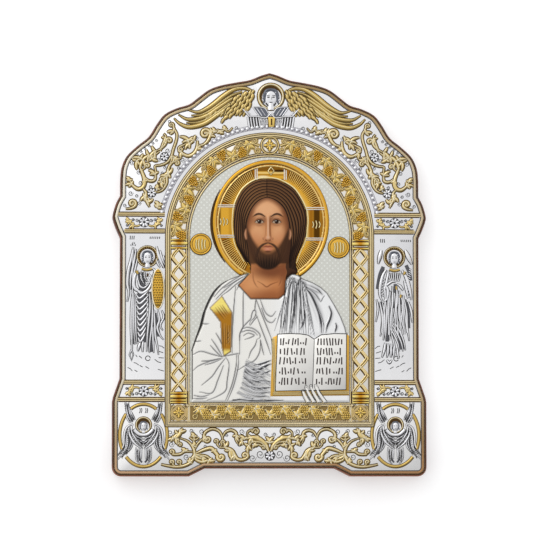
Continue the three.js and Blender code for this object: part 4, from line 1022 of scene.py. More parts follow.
seraph_darks = [
    (3.4, [(-109.1, -118.0), (-111.9, -112.4), (-113.1, -107.3), (-113.5, -103.7)]),
    (4.6, [(-110.7, -123.2), (-112.3, -131.1), (-112.7, -137.1), (-118.3, -146.3)]),
    (3.6, [(-109.9, -133.1), (-112.7, -141.1), (-115.5, -143.9)]),
    (5.0, [(-109.1, -124.8), (-105.2, -131.1), (-100.4, -135.1)]),
    (3.0, [(-104.0, -139.5), (-103.6, -147.1), (-101.2, -150.6)]),
]


def barbs(line, reach):
    """Short strokes that lean out from a feather's middle on both sides."""
    line = smooth_line(line, 1.5)
    strokes = []
    for here, there in zip(line[:-1], line[1:]):
        along = (there - here) / np.linalg.norm(there - here)
        for side in (-1, 1):
            out = np.array([along[1], -along[0]]) * side
            strokes.append((np.array([here, here + 0.5 * reach * (out + 0.7 * along),
                                      here + reach * (out + 1.6 * along)]), 0.27))
    return strokes


seraph_barbs = [
    (1.9, [(-109.1, -118.6), (-111.6, -113.4), (-112.9, -108.4), (-113.4, -104.6)]),
    (1.4, [(-107.8, -116.4), (-109.9, -112.2)]),
    (2.2, [(-111.2, -124.0), (-112.6, -131.5), (-113.5, -137.6), (-117.9, -144.6)]),
    (1.6, [(-110.2, -133.5), (-111.8, -139.5), (-114.4, -143.0)]),
    (1.8, [(-110.6, -124.6), (-108.4, -130.2), (-104.0, -134.8), (-100.8, -137.0)]),
    (1.4, [(-107.6, -123.8), (-105.6, -128.2), (-102.0, -131.0)]),
    (1.3, [(-104.6, -140.4), (-104.8, -146.0), (-103.4, -150.2)]),
]
seraph_x, seraph_y = 100.6, -129.1
for side in (-1, 1):
    middle = side * seraph_x
    name = "left_seraph" if side < 0 else "right_seraph"
    for start, end in ((58, 122), (137, 207), (-27, 43), (-137, -43)):
        turns = np.radians(np.linspace(start, end, 26))
        arc = np.column_stack([middle + 18.9 * np.cos(turns), seraph_y + 24.8 * np.sin(turns)])
        shadowed(name + "_oval", [(arc, 2.1)], sheet_top, 0.6, pale_gilt, on_sheet_gilt, 0.9)
    for half in (-1, 1):
        def across(line):
            return np.array([(middle + half * (x + 100.1), y) for x, y in line])
        laid(name + "_darks", [(across(smooth_line(line, 1.5)), 0.5 * width)
                               for width, line in seraph_darks], sheet_top, dark_silver, on_sheet, 0.07)
        feathers = [widths_for(across(smooth_line(line, 1.0)), width) for width, line in seraph_feathers]
        shadowed(name + "_feathers", feathers, sheet_top + 0.15, 0.8, silver, on_sheet, 0.55)
        strokes = [stroke for reach, line in seraph_barbs for stroke in barbs(across(line), reach)]
        laid(name + "_barbs", strokes, sheet_top + 0.6, oxide_and_shade, on_sheet, 0.6)
    marks = []
    for x in (-3.0, -1.7, 1.6, 2.9):
        marks.append((smooth_line([(middle + x, -107.4), (middle + x + 0.4, -109.3),
                                   (middle + x - 0.3, -111.4)], 0.8), 0.7))
    laid(name + "_marks", marks, sheet_top, oxide_and_shade, on_sheet, 0.4)
    small_face(name, middle, -122.0, 2.4, 3.4, 6.4, 1.2, 1.2, (0.3, -1.4))
    shoulders = [(middle - 7.4, -124.6), (middle - 3.6, -128.0), (middle, -128.8),
                 (middle + 3.6, -128.0), (middle + 7.4, -124.6)]
    shoulders = [(smooth_line(shoulders, 0.8), 2.6)]
    shadowed(name + "_shoulders", shoulders, sheet_top + 0.9, 0.7, silver, on_sheet, 0.4)

# The small panels between the bars: a rosette between gilt leaves and dark curls, pressed in
# the same sheet.
panel_x = -100.4
panel_lines, panel_flowers, panel_curls = [], [], []
for y, rise in ((41.0, -1), (-94.0, 1)):
    panel_flowers += rosette(panel_x, y, 3.9, 7)
    for lean in (-1, 1):
        stem = ((3.6, 2.4), (6.0, 3.2), (9.0, 2.2), (12.0, -0.6), (14.6, -2.8))
        stem = smooth_line([(panel_x + lean * x, y + rise * t) for x, t in stem], 0.8)
        panel_lines.append((stem, np.linspace(1.0, 1.6, len(stem))))
        panel_lines += leaf(panel_x + 8.2 * lean, y + 2.6 * rise, 90 - 90 * lean, 5.0, 60, 2.0)
        panel_lines += leaf(panel_x + 11.0 * lean, y + 0.6 * rise, 90 + rise * 50 * lean, 4.4, 60, 2.0)
        panel_lines += leaf(panel_x + 12.4 * lean, y - 0.6 * rise, -90 * rise, 4.0, 60, 1.8)
        panel_curls.append((panel_x + 5.6 * lean, y - 1.6 * rise, 1.4))
        panel_curls.append((panel_x + 8.8 * lean, y - 2.2 * rise, 1.1))
        panel_curls.append((panel_x + 13.6 * lean, y + 2.4 * rise, 1.1))
panel_curls = [(volute(x, y, r, -60, 1.25, [(x + r * 1.1, y + r * 0.2)]), 0.6) for x, y, r in panel_curls]
shadowed("panel_leaves", both_sides(panel_lines), sheet_top, 0.7, scroll_gilt, on_sheet_gilt, 0.9)
for side in (-1, 1):
    for y in (41.0, -94.0):
        hollow = plate("panel_hollow", circle(-side * panel_x, y, 4.2, 20), sheet_top - 0.1, sheet_top + 0.1)
        finish_piece(hollow, oxide_and_shade, on_sheet, 30)
shadowed("panel_flowers", both_sides(panel_flowers), sheet_top, 0.6, silver, on_sheet, 0.9)
laid("panel_curls", both_sides(panel_curls), sheet_top, oxide_and_shade, on_sheet, 0.5, angle=40)

# The arch frame: a silver pressing of its own, gilt on its raised work. It carries a moulding of gilt beads
# along its outer and its inner edge, and stands in a dark seam. The dark lines round the beads are patina and
# painted shade.
ground_top = 15.8
frame_inner = 19.7
on_frame = ("arch_frame", "silver")
on_frame_gilt = ("arch_frame", "gilt")
arch = plate("arch_ground", arch_line(0.1), board_top, ground_top, 0.3, 2)
open_up(arch, arch_line(frame_inner), board_top - 2, ground_top + 4)
finish_piece(arch, cream_silver, on_frame, 25)

beads = [(arch_line(0.8), 1.2), (arch_line(2.4), 1.7), (arch_line(3.85), 0.8)]
beads += [(arch_line(16.9), 0.9), (arch_line(18.9), 1.4)]
laid("frame_beads", beads, ground_top, frame_gilt, on_frame_gilt, 0.95, 2, True)
seams = [(arch_line(d), w) for d, w in ((1.45, 0.5), (3.35, 0.45), (4.45, 0.9), (16.2, 0.8), (17.8, 0.65),
                                        (0.1, 0.8))]
laid("frame_seams", seams, ground_top, brown_patina_and_shade, on_frame_gilt, 0.4, 1, True)

# The lattice columns: two flat straps that cross each other all the way up, with a ringed
# capital and base. The straps are gilt on the silver ground, and each casts a dark edge.
column = 72.6
capital_y = (19.4, 27.6)
base_y = (-103.9, -94.6)
pitch = 13.5
first_crossing = 6.8


def strap(side, phase, low, high):
    """One strap of the lattice, from its foot up, leaning over and back."""
    points = []
    y = low
    while y <= high + 0.01:
        swing = ((y - first_crossing) / (2 * pitch) + phase) % 1 * 2
        swing = swing if swing <= 1 else 2 - swing
        lean = math.sin((swing - 0.5) * math.pi) * 0.35 + (swing - 0.5) * 2 * 0.65
        points.append((side * column + 5.3 * lean, y))
        y += 0.5
    return np.array(points)


straps, strap_edges = [], []
for side in (-1, 1):
    for phase in (0.25, 0.75):
        line = strap(side, phase, base_y[1], capital_y[0])
        straps += [(line + (-0.8, 0.3), 1.45), (line + (0.8, -0.3), 1.45)]
        strap_edges.append((line, 1.0))
        strap_edges.append((line + (-1.35, -0.9), 1.0))
laid("lattice_straps", straps, ground_top, vine_gilt, on_frame_gilt, 0.85)
# A painted highlight along each strap.
laid("lattice_crests", [(line + (-0.2, 0.1), 0.4) for line, _ in straps], ground_top + 0.45, pale_crest,
     on_frame_gilt, 0.8)
laid("lattice_shadows", strap_edges, ground_top, brown_patina_and_shade, on_frame_gilt, 0.3)

rings, ring_cuts = [], []
for side in (-1, 1):
    for y, width in (
        (capital_y[1] - 0.6, 1.3), (capital_y[1] - 3.6, 3.6), (capital_y[0] + 1.0, 1.8),
        (base_y[1] - 0.8, 1.6), (base_y[1] - 3.6, 3.2), (base_y[1] - 6.5, 1.8), (base_y[0] + 0.9, 1.5),
    ):
        rings.append(([(side * 66.0, y), (side * 69.2, y), (side * 75.8, y), (side * 79.3, y)],
                      np.array([0.8, 1, 1, 0.8]) * width))
    for y in (capital_y[1], capital_y[1] - 1.5, capital_y[0] + 2.1, capital_y[0] - 0.1,
              base_y[1] + 0.2, base_y[1] - 1.7, base_y[1] - 5.4, base_y[1] - 7.6, base_y[0]):
        ring_cuts.append(([(side * 65.6, y), (side * 79.7, y)], 0.6))
    for x in (64.9, 80.2):
        ring_cuts.append(([(side * x, base_y[1] + 0.5), (side * x, base_y[0] - 0.5)], 1.2))
        ring_cuts.append(([(side * x, capital_y[1] + 0.5), (side * x, capital_y[0] - 0.5)], 1.2))
rings = drawn("column_rings", rings, ground_top, 0.75, 3)


def ring_gilt_painted_reflection():
    """Gilt with a painted reflection: deep brown along the middle of each column and pale yellow at its sides.
    """
    material, tree, shader = principled("ring_gilt_painted_reflection", (0.8, 0.5, 0.1), 1.0, 0.22)
    found = place_on(tree, "X")
    for way, amount in (("ABSOLUTE", 0), ("SUBTRACT", column * MM), ("ABSOLUTE", 0)):
        found = add_node(tree, "Math", {0: found, 1: amount}, operation=way).outputs["Value"]
    off_middle = ranged(tree, found, 0, 7 * MM)
    bands = toned(tree, off_middle, [(0.1, (0.62, 0.3, 0.025)), (0.75, (0.95, 0.76, 0.24))])
    feed(tree, shader.inputs["Base Color"], bands)
    return material


# The rings' gilt is painted with a reflection across each column.
finish_piece(rings, ring_gilt_painted_reflection(), on_frame_gilt, 60)
laid("ring_lines", ring_cuts, ground_top, brown_patina_and_shade, on_frame_gilt, 0.35)

# The vine that fills the arch and the sill: a wavy stem with lobed leaves, bunches of
# grapes and tendrils, pressed up in high relief and gilded more deeply.
arch_band = 73.2
sill_band = -110.7
corner_y = -111.0


def round_arch(s, t):
    """A place on the arch: s along it from the top, t out from the band's middle."""
    turn = s / arch_band
    return ((arch_band + t) * math.sin(turn), spring + (arch_band + t) * math.cos(turn))


def along_sill(s, t):
    return (s, sill_band + t)


def vine(place, low, high, count, reach, fullness):
    """Stem, leaves, grapes and tendrils between two places of a band."""
    stems, leaves, ribs, grapes = [], [], [], []
    wave = 0.55 * reach
    step = (high - low) / count
    samples = int((high - low) / 0.9)
    stem = []
    for k in range(samples + 1):
        s = low + (high - low) * k / samples
        stem.append(place(s, wave * math.sin((s - low) / step * math.pi)))
    stems.append((np.array(stem), 1.3))
    for k in range(count):
        side = 1 if k % 2 else -1
        s = low + (k + 0.5) * step
        foot = -side * 0.55 * reach
        tilt = (24, -30, 36, -18)[k % 4]
        for lean in (0, 52, -52, 104, -104):
            size = reach * (1.42 - 0.0062 * abs(lean))
            line = []
            for share in (0, 0.2, 0.4, 0.6, 0.8, 1):
                turn = math.radians(90 * side + tilt + lean * (1 + 0.25 * share))
                line.append(place(s + size * share * math.cos(turn), foot + size * share * math.sin(turn)))
            leaves.append((line, [fullness * lobe * reach for lobe in (0.4, 0.8, 1.0, 0.85, 0.6, 0.2)]))
            if abs(lean) < 90:
                ribs.append((line[1:5], 0.3))
        for row, many in enumerate((4, 5, 5, 4, 3, 2)):
            for j in range(many):
                grapes.append(place(s + step * 0.5 + (j - (many - 1) / 2) * 1.5 + 0.2 * row * side,
                                    side * (reach * 0.95 - row * 1.35)))
        for lean, rise in ((-0.38, 0.72), (0.34, 0.8), (0.4, -0.72), (-0.3, -0.84)):
            cx, cy = s + lean * step, side * rise * reach
            curl = [(cx + 1.7 * math.cos(turn), cy + 1.7 * math.sin(turn) * (1 if lean > 0 else -1))
                    for turn in (5.4, 4.4, 3.4, 2.4, 1.4, 0.4)]
            curl.append((cx - 5 * lean, cy - side * rise * 2.6))
            stems.append((smooth_line([place(a, b) for a, b in curl], 0.6), 0.85))
        for lean in (-1, 1):
            bud = [place(s + step * 0.5 + lean * share * 3.6, side * (0.95 * reach - 0.8 * share))
                   for share in (0.3, 0.6, 1)]
            leaves.append((bud, [1.3, 1.7, 0.5]))
    return stems, leaves, ribs, grapes


band_stems, band_leaves, band_ribs, band_grapes = [], [], [], []
for side in (-1, 1):
    def place(s, t, side=side):
        x, y = round_arch(s, t)
        return (side * x, y)
    for kept, more in zip((band_stems, band_leaves, band_ribs, band_grapes),
                          vine(place, 8.5, 114.5, 7, 5.5, 0.62)):
        kept += more
sill_work = vine(along_sill, -61, 61, 11, 4.9, 0.85)
# Painted shade: a dull gilt band round the vine's leaves and stems.
laid("vine_shade", widened(band_leaves + band_stems, 2.2), ground_top, dull_gilt_and_shade, on_frame_gilt, 0.03)
under = []
for k in range(7):
    for side in (-1, 1):
        s = 8.5 + (k + 1) * 106 / 7
        t = 2.2 * (1 if k % 2 else -1)
        under.append((np.array([round_arch(side * (s - 2), t), round_arch(side * (s + 2), t)]), 7.0))
laid("grape_shade", under, ground_top, warm_brown, on_frame_gilt, 0.03)
shadowed("vine_leaves", band_leaves, ground_top, 0.5, vine_gilt, on_frame_gilt, 1.0)
shadowed("vine_stems", band_stems, ground_top + 0.3, 0.9, scroll_gilt, on_frame_gilt, 0.5)
lit_crest("vine_crests", band_leaves, ground_top + 0.85, bright_gilt, on_frame_gilt, 0.16, (-0.5, 0.4))
laid("vine_ribs", band_ribs, ground_top + 0.75, band_shadow, on_frame_gilt, 0.9)
studs("vine_grapes", band_grapes, 0.86, ground_top + 0.5, rich_gilt, on_frame_gilt)
sill_stems, sill_leaves, sill_ribs, sill_grapes = sill_work
shadowed("sill_leaves", sill_leaves, ground_top, 0.5, vine_gilt, on_frame_gilt, 0.9)
shadowed("sill_stems", sill_stems, ground_top + 0.3, 0.9, scroll_gilt, on_frame_gilt, 0.5)
lit_crest("sill_crests", sill_leaves, ground_top + 0.8, pale_crest, on_frame_gilt, 0.14, (-0.9, 0.7))
laid("sill_ribs", sill_ribs, ground_top + 0.75, warm_brown, on_frame_gilt, 0.9)
studs("sill_grapes", sill_grapes, 0.84, ground_top + 0.5, vine_gilt, on_frame_gilt)
sill_dots = [(x * 1.75, y) for y in (frame_foot + 4.9, base_y[0] - 0.9) for x in range(-36, 37)]
studs("sill_dots", sill_dots, 0.6, ground_top, bead_gilt, on_frame_gilt)
sill_ground = plate("sill_ground", [(-63.5, -117.4), (63.5, -117.4), (63.5, -105.0), (-63.5, -105.0)],
                    ground_top - 0.3, ground_top + 0.06)
finish_piece(sill_ground, metal("sill_shade", (0.3, 0.2, 0.07)), on_frame_gilt, 30)
for side in (-1, 1):
    corner = [(65.6, -117.2), (79.8, -117.2), (79.8, -105.2), (65.6, -105.2)]
    corner = plate("corner_ground", [(side * x, y) for x, y in corner], ground_top - 0.3, ground_top + 0.06)
    finish_piece(corner, dull_gilt_and_shade, on_frame_gilt, 30)
sill_lines = [([(-64, frame_foot + frame_inner + off), (64, frame_foot + frame_inner + off)], width)
              for off, width in ((-0.8, 1.3), (-2.3, 0.9))]
sill_lines += [([(side * x, base_y[0]), (side * x, frame_foot + 4.2)], 0.9)
               for side in (-1, 1) for x in (65.2, 80.0, 63.9)]
sill_lines += [([(-79, frame_foot + 4.0), (79, frame_foot + 4.0)], 0.6)]
laid("sill_mouldings", sill_lines, ground_top, frame_gilt, on_frame_gilt, 0.8)

# The medallion at the crown of the arch and the flower crosses at its feet: four leaves and
# four small petals pressed up inside plain gilt hoops.
def flower_cross(x, y, radius):
    lines = []
    for k in range(4):
        turn = math.tau * k / 4
        lines.append(([(x + radius * r * math.cos(turn), y + radius * r * math.sin(turn))
                       for r in (0.12, 0.35, 0.6, 0.8)], np.array([0.35, 0.3, 0.5, 0.2]) * radius))
        turn += math.tau / 8
        lines.append(([(x + radius * r * math.cos(turn), y + radius * r * math.sin(turn))
                       for r in (0.2, 0.4, 0.62)], np.array([0.2, 0.28, 0.1]) * radius))
    return [(np.array(points), widths) for points, widths in lines]


top_y = spring + 73.3
crosses = flower_cross(0, top_y, 6.0)
for side in (-1, 1):
    crosses += flower_cross(side * column, corner_y, 5.4)
shadowed("flower_crosses", crosses, ground_top + 0.1, 0.9, vine_gilt, on_frame_gilt, 0.7)
corner_strokes = []
for side in (-1, 1):
    for k in range(4):
        middle = math.radians(45 + 90 * k)
        for reach in (5.6, 6.7, 7.8):
            line = [(side * column + reach * math.cos(middle + lean),
                     corner_y + reach * math.sin(middle + lean))
                    for lean in (-0.28, 0, 0.28)]
            corner_strokes.append((line, 0.6))
laid("corner_strokes", corner_strokes, ground_top, oxide_and_shade, on_frame, 0.5)
hoops = [(circle(0, top_y, 6.9), 1.2), (circle(0, top_y, 5.4), 0.5)]
for side in (-1, 1):
    hoops.append((circle(side * column, corner_y, 6.2), 0.8))
laid("medallion_hoops", hoops, ground_top + 0.1, scroll_gilt, on_frame_gilt, 0.9, 2, True)
laid("medallion_line", [(circle(0, top_y, 7.7), 0.6), (circle(0, top_y, 6.1), 0.5)], ground_top,
     brown_patina_and_shade, on_frame_gilt, 0.4, 1, True)

# The picture's ground: thin silver sheet inside the arch, stamped all over with a net of
# small rings. The halo, the robe and the book are worked in the same sheet.
ring_pitch = 3.1


def stamped_silver():
    """Thin silver with a net of stamped rings, worked out from each point's place in its cell."""
    material, tree, shader = principled("stamped_silver", (0.8, 0.8, 0.77), 1.0, 0.42)
    place = add_node(tree, "TexCoord").outputs["Object"]
    place = add_node(tree, "Mapping", {
        "Vector": place, "Scale": (1 / (ring_pitch * MM), 1 / (ring_pitch * MM), 0),
        "Rotation": (0, 0, math.radians(45)),
    }, vector_type="POINT").outputs["Vector"]
    place = add_node(tree, "VectorMath", {0: place}, operation="FRACTION").outputs["Vector"]
    place = add_node(tree, "VectorMath", {0: place, 1: (0.5, 0.5, 0)}, operation="SUBTRACT").outputs["Vector"]
    reach = add_node(tree, "VectorMath", {0: place}, operation="LENGTH").outputs["Value"]
    rings = toned(tree, reach, [
        (0.24, (0.84, 0.85, 0.79)), (0.38, (0.6, 0.6, 0.54)), (0.46, (0.78, 0.78, 0.72)),
                                (0.66, (0.66, 0.66, 0.6)),
    ])
    feed(tree, shader.inputs["Base Color"], rings)
    roughened(tree, shader, rings, 0.2, 0.0003)
    return material


on_picture = ("icon_plaque", "picture_silver")
on_picture_gilt = ("icon_plaque", "gilt")
picture_top = 16.2
picture = plate("picture_ground", arch_line(frame_inner + 0.15), board_top, picture_top, 0.1, 1)
finish_piece(picture, stamped_silver(), on_picture, 20)


# How work that is pressed or painted over a whole area is made: a fine net of points, cut to
# an outline and raised by a function of its place, with a colour kept at every point.
def inside(points, outline):
    """Which of the points lie inside the closed outline."""
    x, y = points[:, 0], points[:, 1]
    found = np.zeros(len(points), bool)
    ring = np.array(outline, float)
    for (ax, ay), (bx, by) in zip(ring, np.roll(ring, -1, axis=0)):
        if ay != by:
            found ^= ((ay > y) != (by > y)) & (x < (bx - ax) * (y - ay) / (by - ay) + ax)
    return found


def from_line(points, line, closed=False):
    """Each point's distance from a line, how far along it is, and the nearest place on it."""
    line = np.array(line, float)
    if closed:
        line = np.vstack([line, line[:1]])
    lengths = np.linalg.norm(np.diff(line, axis=0), axis=1)
    before = np.concatenate([[0], np.cumsum(lengths)])
    best = np.full(len(points), 1e9)
    share = np.zeros(len(points))
    place = np.zeros((len(points), 2))
    for a, b, length, start in zip(line, line[1:], lengths, before):
        if length < 1e-9:
            continue
        t = np.clip(((points - a) @ (b - a)) / length ** 2, 0, 1)
        near = a + t[:, None] * (b - a)
        gap = np.linalg.norm(points - near, axis=1)
        closer = gap < best
        best[closer] = gap[closer]
        share[closer] = ((start + t * length) / before[-1])[closer]
        place[closer] = near[closer]
    return best, share, place


def step_up(value, low, high):
    """Smoothly from 0 at low to 1 at high."""
    t = np.clip((value - low) / (high - low), 0, 1)
    return t * t * (3 - 2 * t)


def stroke(points, line, width, soft=0.3, start=0.4, end=0.3, smooth=True):
    """How strongly a brush stroke along a line covers each point, 0 to 1."""
    line = smooth_line(line, 1.2) if smooth else np.array(line, float)
    cover = np.zeros(len(points))
    reach = width / 2 + soft
    near = np.all((points > line.min(0) - reach) & (points < line.max(0) + reach), axis=1)
    if not near.any():
        return cover
    gap, share, _ = from_line(points[near], line)
    body = np.minimum(start + (1 - start) * step_up(share, 0, 0.35),
                      end + (1 - end) * step_up(1 - share, 0, 0.35))
    cover[near] = 1 - step_up(gap, width / 2 * body - soft / 2, width / 2 * body + soft / 2)
    return cover


def blob(points, x, y, across, tall, soft=0.5, lean=0):
    """A soft-edged oval, 1 inside and 0 outside."""
    turn = math.radians(lean)
    dx, dy = points[:, 0] - x, points[:, 1] - y
    u = (dx * math.cos(turn) + dy * math.sin(turn)) / across
    v = (-dx * math.sin(turn) + dy * math.cos(turn)) / tall
    return 1 - step_up(np.hypot(u, v), 1 - soft, 1 + soft)


def lay(colours, cover, colour, strength=1.0):
    """Lay a colour over the points it covers."""
    amount = (np.clip(cover, 0, 1) * strength)[:, None]
    colours *= 1 - amount
    colours += amount * np.array(colour)


def relief(name, outline, cell, low, shape):
    """A raised area: shape(points) gives the heights and colours at a net of points."""
    outline = np.array(outline, float)
    small, large = outline.min(0), outline.max(0)
    across, down = np.ceil((large - small) / cell).astype(int) + 1
    clean_slate()
    bpy.ops.mesh.primitive_grid_add(x_subdivisions=int(across), y_subdivisions=int(down), size=2)
    piece = bpy.context.object
    piece.name = name
    mesh = piece.data
    places = np.empty(len(mesh.vertices) * 3)
    mesh.vertices.foreach_get("co", places)
    places = places.reshape(-1, 3)[:, :2]
    points = (small + large) / 2 + places * np.array([across, down]) * cell / 2
    corners = np.empty(len(mesh.loops), int)
    mesh.loops.foreach_get("vertex_index", corners)
    corners = corners.reshape(-1, 4)
    kept = inside(points[corners].mean(axis=1), outline)
    bpy.context.tool_settings.mesh_select_mode = (False, False, True)
    bpy.ops.object.mode_set(mode="EDIT")
    bpy.ops.mesh.select_all(action="DESELECT")
    bpy.ops.object.mode_set(mode="OBJECT")
    mesh.polygons.foreach_set("select", ~kept)
    used = np.zeros(len(points), int)
    for column in range(4):
        np.add.at(used, corners[kept][:, column], 1)
    border = (used > 0) & (used < 4)
    _, _, nearest = from_line(points[border], outline, True)
    points[border] = nearest
    heights, colours = shape(points)
    full = np.column_stack([points, heights]) * MM
    mesh.vertices.foreach_set("co", full.ravel())
    tint = mesh.color_attributes.new("tint", "FLOAT_COLOR", "POINT")
    tint.data.foreach_set("color", np.column_stack([colours, np.ones(len(points))]).ravel())
    bpy.ops.object.mode_set(mode="EDIT")
    bpy.ops.mesh.delete(type="FACE")
    bpy.ops.mesh.select_all(action="SELECT")
    bpy.ops.mesh.remove_doubles(threshold=0.02 * MM)
    bpy.ops.mesh.select_all(action="DESELECT")
    bpy.ops.mesh.select_mode(type="EDGE")
    bpy.ops.mesh.select_non_manifold(extend=False)
    bpy.ops.mesh.extrude_edges_move(TRANSFORM_OT_translate={"value": (0, 0, 0)})
    bpy.ops.transform.resize(value=(1, 1, 0), center_override=(0, 0, low * MM))
    bpy.ops.mesh.fill()
    bpy.ops.mesh.select_all(action="SELECT")
    bpy.ops.mesh.normals_make_consistent(inside=False)
    bpy.ops.object.mode_set(mode="OBJECT")
    return piece


def tinted(tree, shader):
    """Take the shader's colour from the one kept in the piece."""
    tint = add_node(tree, "Attribute", attribute_name="tint")
    feed(tree, shader.inputs["Base Color"], tint.outputs["Color"])


def tinted_metal(name, low, high):
    """Metal whose colour is kept in the piece: its own colour and oxide, with painted highlights, reflections
    and shade.
    """
    material, tree, shader = principled(name, (0.9, 0.9, 0.9), 1.0, 0.3)
    tinted(tree, shader)
    fine = noise_of(tree, 160, 4)
    feed(tree, shader.inputs["Roughness"], ranged(tree, fine, 0.3, 0.7, low, high))
    roughened(tree, shader, fine, 0.015)
    return material


# The outlines of the robe and of the painted inlay, which the halo stops at and the pieces
# themselves follow.
robe_outline = [(-15.6, 0.8), (-24.9, -1.6), (-32.7, -4.6), (-38.8, -8.7), (-44.0, -14.6),
                (-48.2, -22.0), (-51.8, -30.2), (-54.4, -41.5), (-58.8, -51.9), (-62.2, -61.0), (-62.2, -102.4),
                (63.5, -102.4), (63.5, -48.1), (61.4, -47.6), (60.1, -42.4), (56.6, -33.7), (51.4, -24.1),
                (46.2, -15.6), (41.0, -10.7), (34.9, -7.2), (26.2, -3.8), (22.3, -0.9), (18.0, -0.2),
                (14.5, -2.5), (12.5, -5.9), (11.7, -16.3), (7.3, -20.0), (-15.2, -20.0), (-24.9, -9.4)]
hair_left = [(-2.5, 76.1), (-9.0, 75.4), (-14.7, 73), (-19.5, 69.4), (-23.3, 64.9), (-27.8, 55.1),
             (-29.2, 44.5), (-29, 33), (-27, 23.2), (-23.3, 15.9), (-20, 10.2), (-16.3, 5.3)]
hair_right = [(-2.5, 76.1), (4.0, 75.6), (9.8, 73.7), (18.8, 68.1), (24.5, 60), (28.6, 51), (29.8, 42.8),
              (29, 34.7), (27.3, 25.7), (23.7, 17.5), (20.8, 9.4), (22.4, 1.2)]
collar = [(20.6, -0.6), (18.0, -0.2), (14.5, -2.5), (12.5, -5.9), (11.7, -16.3), (7.3, -20.0), (-15.2, -20.0),
          (-24.9, -9.4), (-15.4, 0.8)]
head_outline = [*smooth_line(hair_right, 1.5), *collar, *smooth_line(hair_left[::-1], 1.5)[:-1]]
grown_robe = moved_in(robe_outline, -0.6)
grown_head = moved_in(head_outline, -1.0)

# The halo: gilt and polished, with a heavy double rim, three arms between pale rods, and fine ribs in the coves
# between the arms. Its colour is painted with the shade, highlights and reflections of polished gold.
halo_middle = np.array([0.8, 41.2])
halo_half = np.array([46.8, 50.3])
halo_low = picture_top + 0.5
gold = np.array([0.76, 0.4, 0.04])
gold_painted_shade = np.array([0.3, 0.1, 0.006])
gold_painted_highlight = np.array([0.96, 0.74, 0.3])
arms = [(-10.2, 11.6, 70.0, 87.0), (-44.0, -27.0, 30.6, 53.4), (29.0, 44.4, 28.6, 51.6)]


def halo_shape(points):
    offset = (points - halo_middle) / halo_half
    reach = np.hypot(offset[:, 0], offset[:, 1])
    heights = np.full(len(points), halo_low)
    rim = np.clip(1 - ((reach - 0.963) / 0.036) ** 2, 0, 1) ** 0.5
    lip = np.clip(1 - ((reach - 0.905) / 0.014) ** 2, 0, 1) ** 0.5
    covered = inside(points, grown_robe) | inside(points, grown_head)
    rim, lip = rim * ~covered, lip * ~covered
    heights += 1.1 * rim + 0.7 * lip
    colours = np.tile(gold, (len(points), 1))
    # Painted shade in the coves, and painted highlights in the middle and along the rims.
    lay(colours, step_up(reach, 0.7, 0.84) * (reach < 0.9), gold_painted_shade, 0.8)
    lay(colours, (1 - step_up(reach, 0.6, 0.72)), gold_painted_highlight, 0.6)
    lay(colours, 1 - step_up(np.abs(reach - 0.945), 0.0, 0.016), gold_painted_highlight, 0.45)
    lay(colours, 1 - step_up(np.abs(reach - 0.907), 0.008, 0.016), gold_painted_highlight, 0.85)
    lay(colours, 1 - step_up(np.abs(reach - 0.93), 0.002, 0.008), (0.2, 0.08, 0.01), 0.8)
    lay(colours, step_up(reach, 0.984, 0.998), (0.1, 0.05, 0.01), 0.8)
    for left, right, low, high in arms:
        across = np.minimum(points[:, 0] - left, right - points[:, 0])
        upward = np.minimum(points[:, 1] - low, high - points[:, 1])
        cover = step_up(np.minimum(across, upward), -0.2, 0.2) * (reach < 0.892)
        heights = heights * (1 - cover) + cover * (halo_low + 0.45)
        lay(colours, cover, (0.78, 0.42, 0.045))
        # Painted reflections on the polished arms: dark bands, a dark spot and a bright glint on the top arm,
        # dark outer ends on the side arms, and painted shade over the right arm.
        if high > 80:
            band = points[:, 1]
            lay(colours, cover * step_up(band, 81.6, 82.6), (0.2, 0.08, 0.008), 0.92)
            lay(colours, cover * blob(points, 7.5, 82.4, 5.0, 1.1, 0.4), (0.03, 0.01, 0.002), 0.95)
            lay(colours, cover * (1 - step_up(np.abs(band - 80.9), 0.3, 0.9)), gold_painted_highlight, 0.7)
            lay(colours, cover * (1 - step_up(np.abs(band - 79.3), 0.3, 0.8)), (0.3, 0.12, 0.01), 0.7)
            lay(colours, cover * blob(points, -5.5, 77.4, 4.5, 1.2, 0.5), (1.0, 0.86, 0.5), 0.9)
            lay(colours, cover * (1 - step_up(np.abs(band - 75.6), 0.2, 0.9)), (0.12, 0.04, 0.005), 0.8)
        else:
            band = np.abs(points[:, 0] - halo_middle[0])
            side = 1 if left > 0 else 0
            lay(colours, cover * step_up(band, 39.4 - 0.5 * side, 41.0), (0.07, 0.025, 0.004), 0.92)
            if side:
                lay(colours, cover * (1 - step_up(np.abs(band - 36.8), 1.6, 3.0)), (0.05, 0.02, 0.004), 0.85)
                lay(colours, cover, (0.42, 0.18, 0.015), 0.75)
                lay(colours, cover * (1 - step_up(np.abs(band - 36.8), 1.8, 3.0)), (0.05, 0.02, 0.004), 0.85)
            lay(colours, cover * (1 - step_up(band, 28.5, 31.0)), gold_painted_highlight, 0.85)
            lay(colours, cover * (1 - step_up(np.abs(band - 32.4), 0.5, 2.2)), gold_painted_shade, 0.3 + 0.3 * side)
    return heights, colours


halo_edge = oval(*halo_middle, *halo_half, 160)
gilt_sheet = tinted_metal("gilt_sheet", 0.14, 0.24)
halo = relief("halo", halo_edge, 0.5, picture_top - 0.3, halo_shape)
finish_piece(halo, gilt_sheet, on_picture_gilt, 50)


def on_halo(turn, reach):
    return tuple(halo_middle + halo_half * reach * np.array([math.cos(turn), math.sin(turn)]))


def in_arm(x, y):
    """Whether a place on the halo lies under an arm or its rods."""
    margin = 1.2
    return any(l - margin < x < r + margin and a - margin < y < b + margin for l, r, a, b in arms)


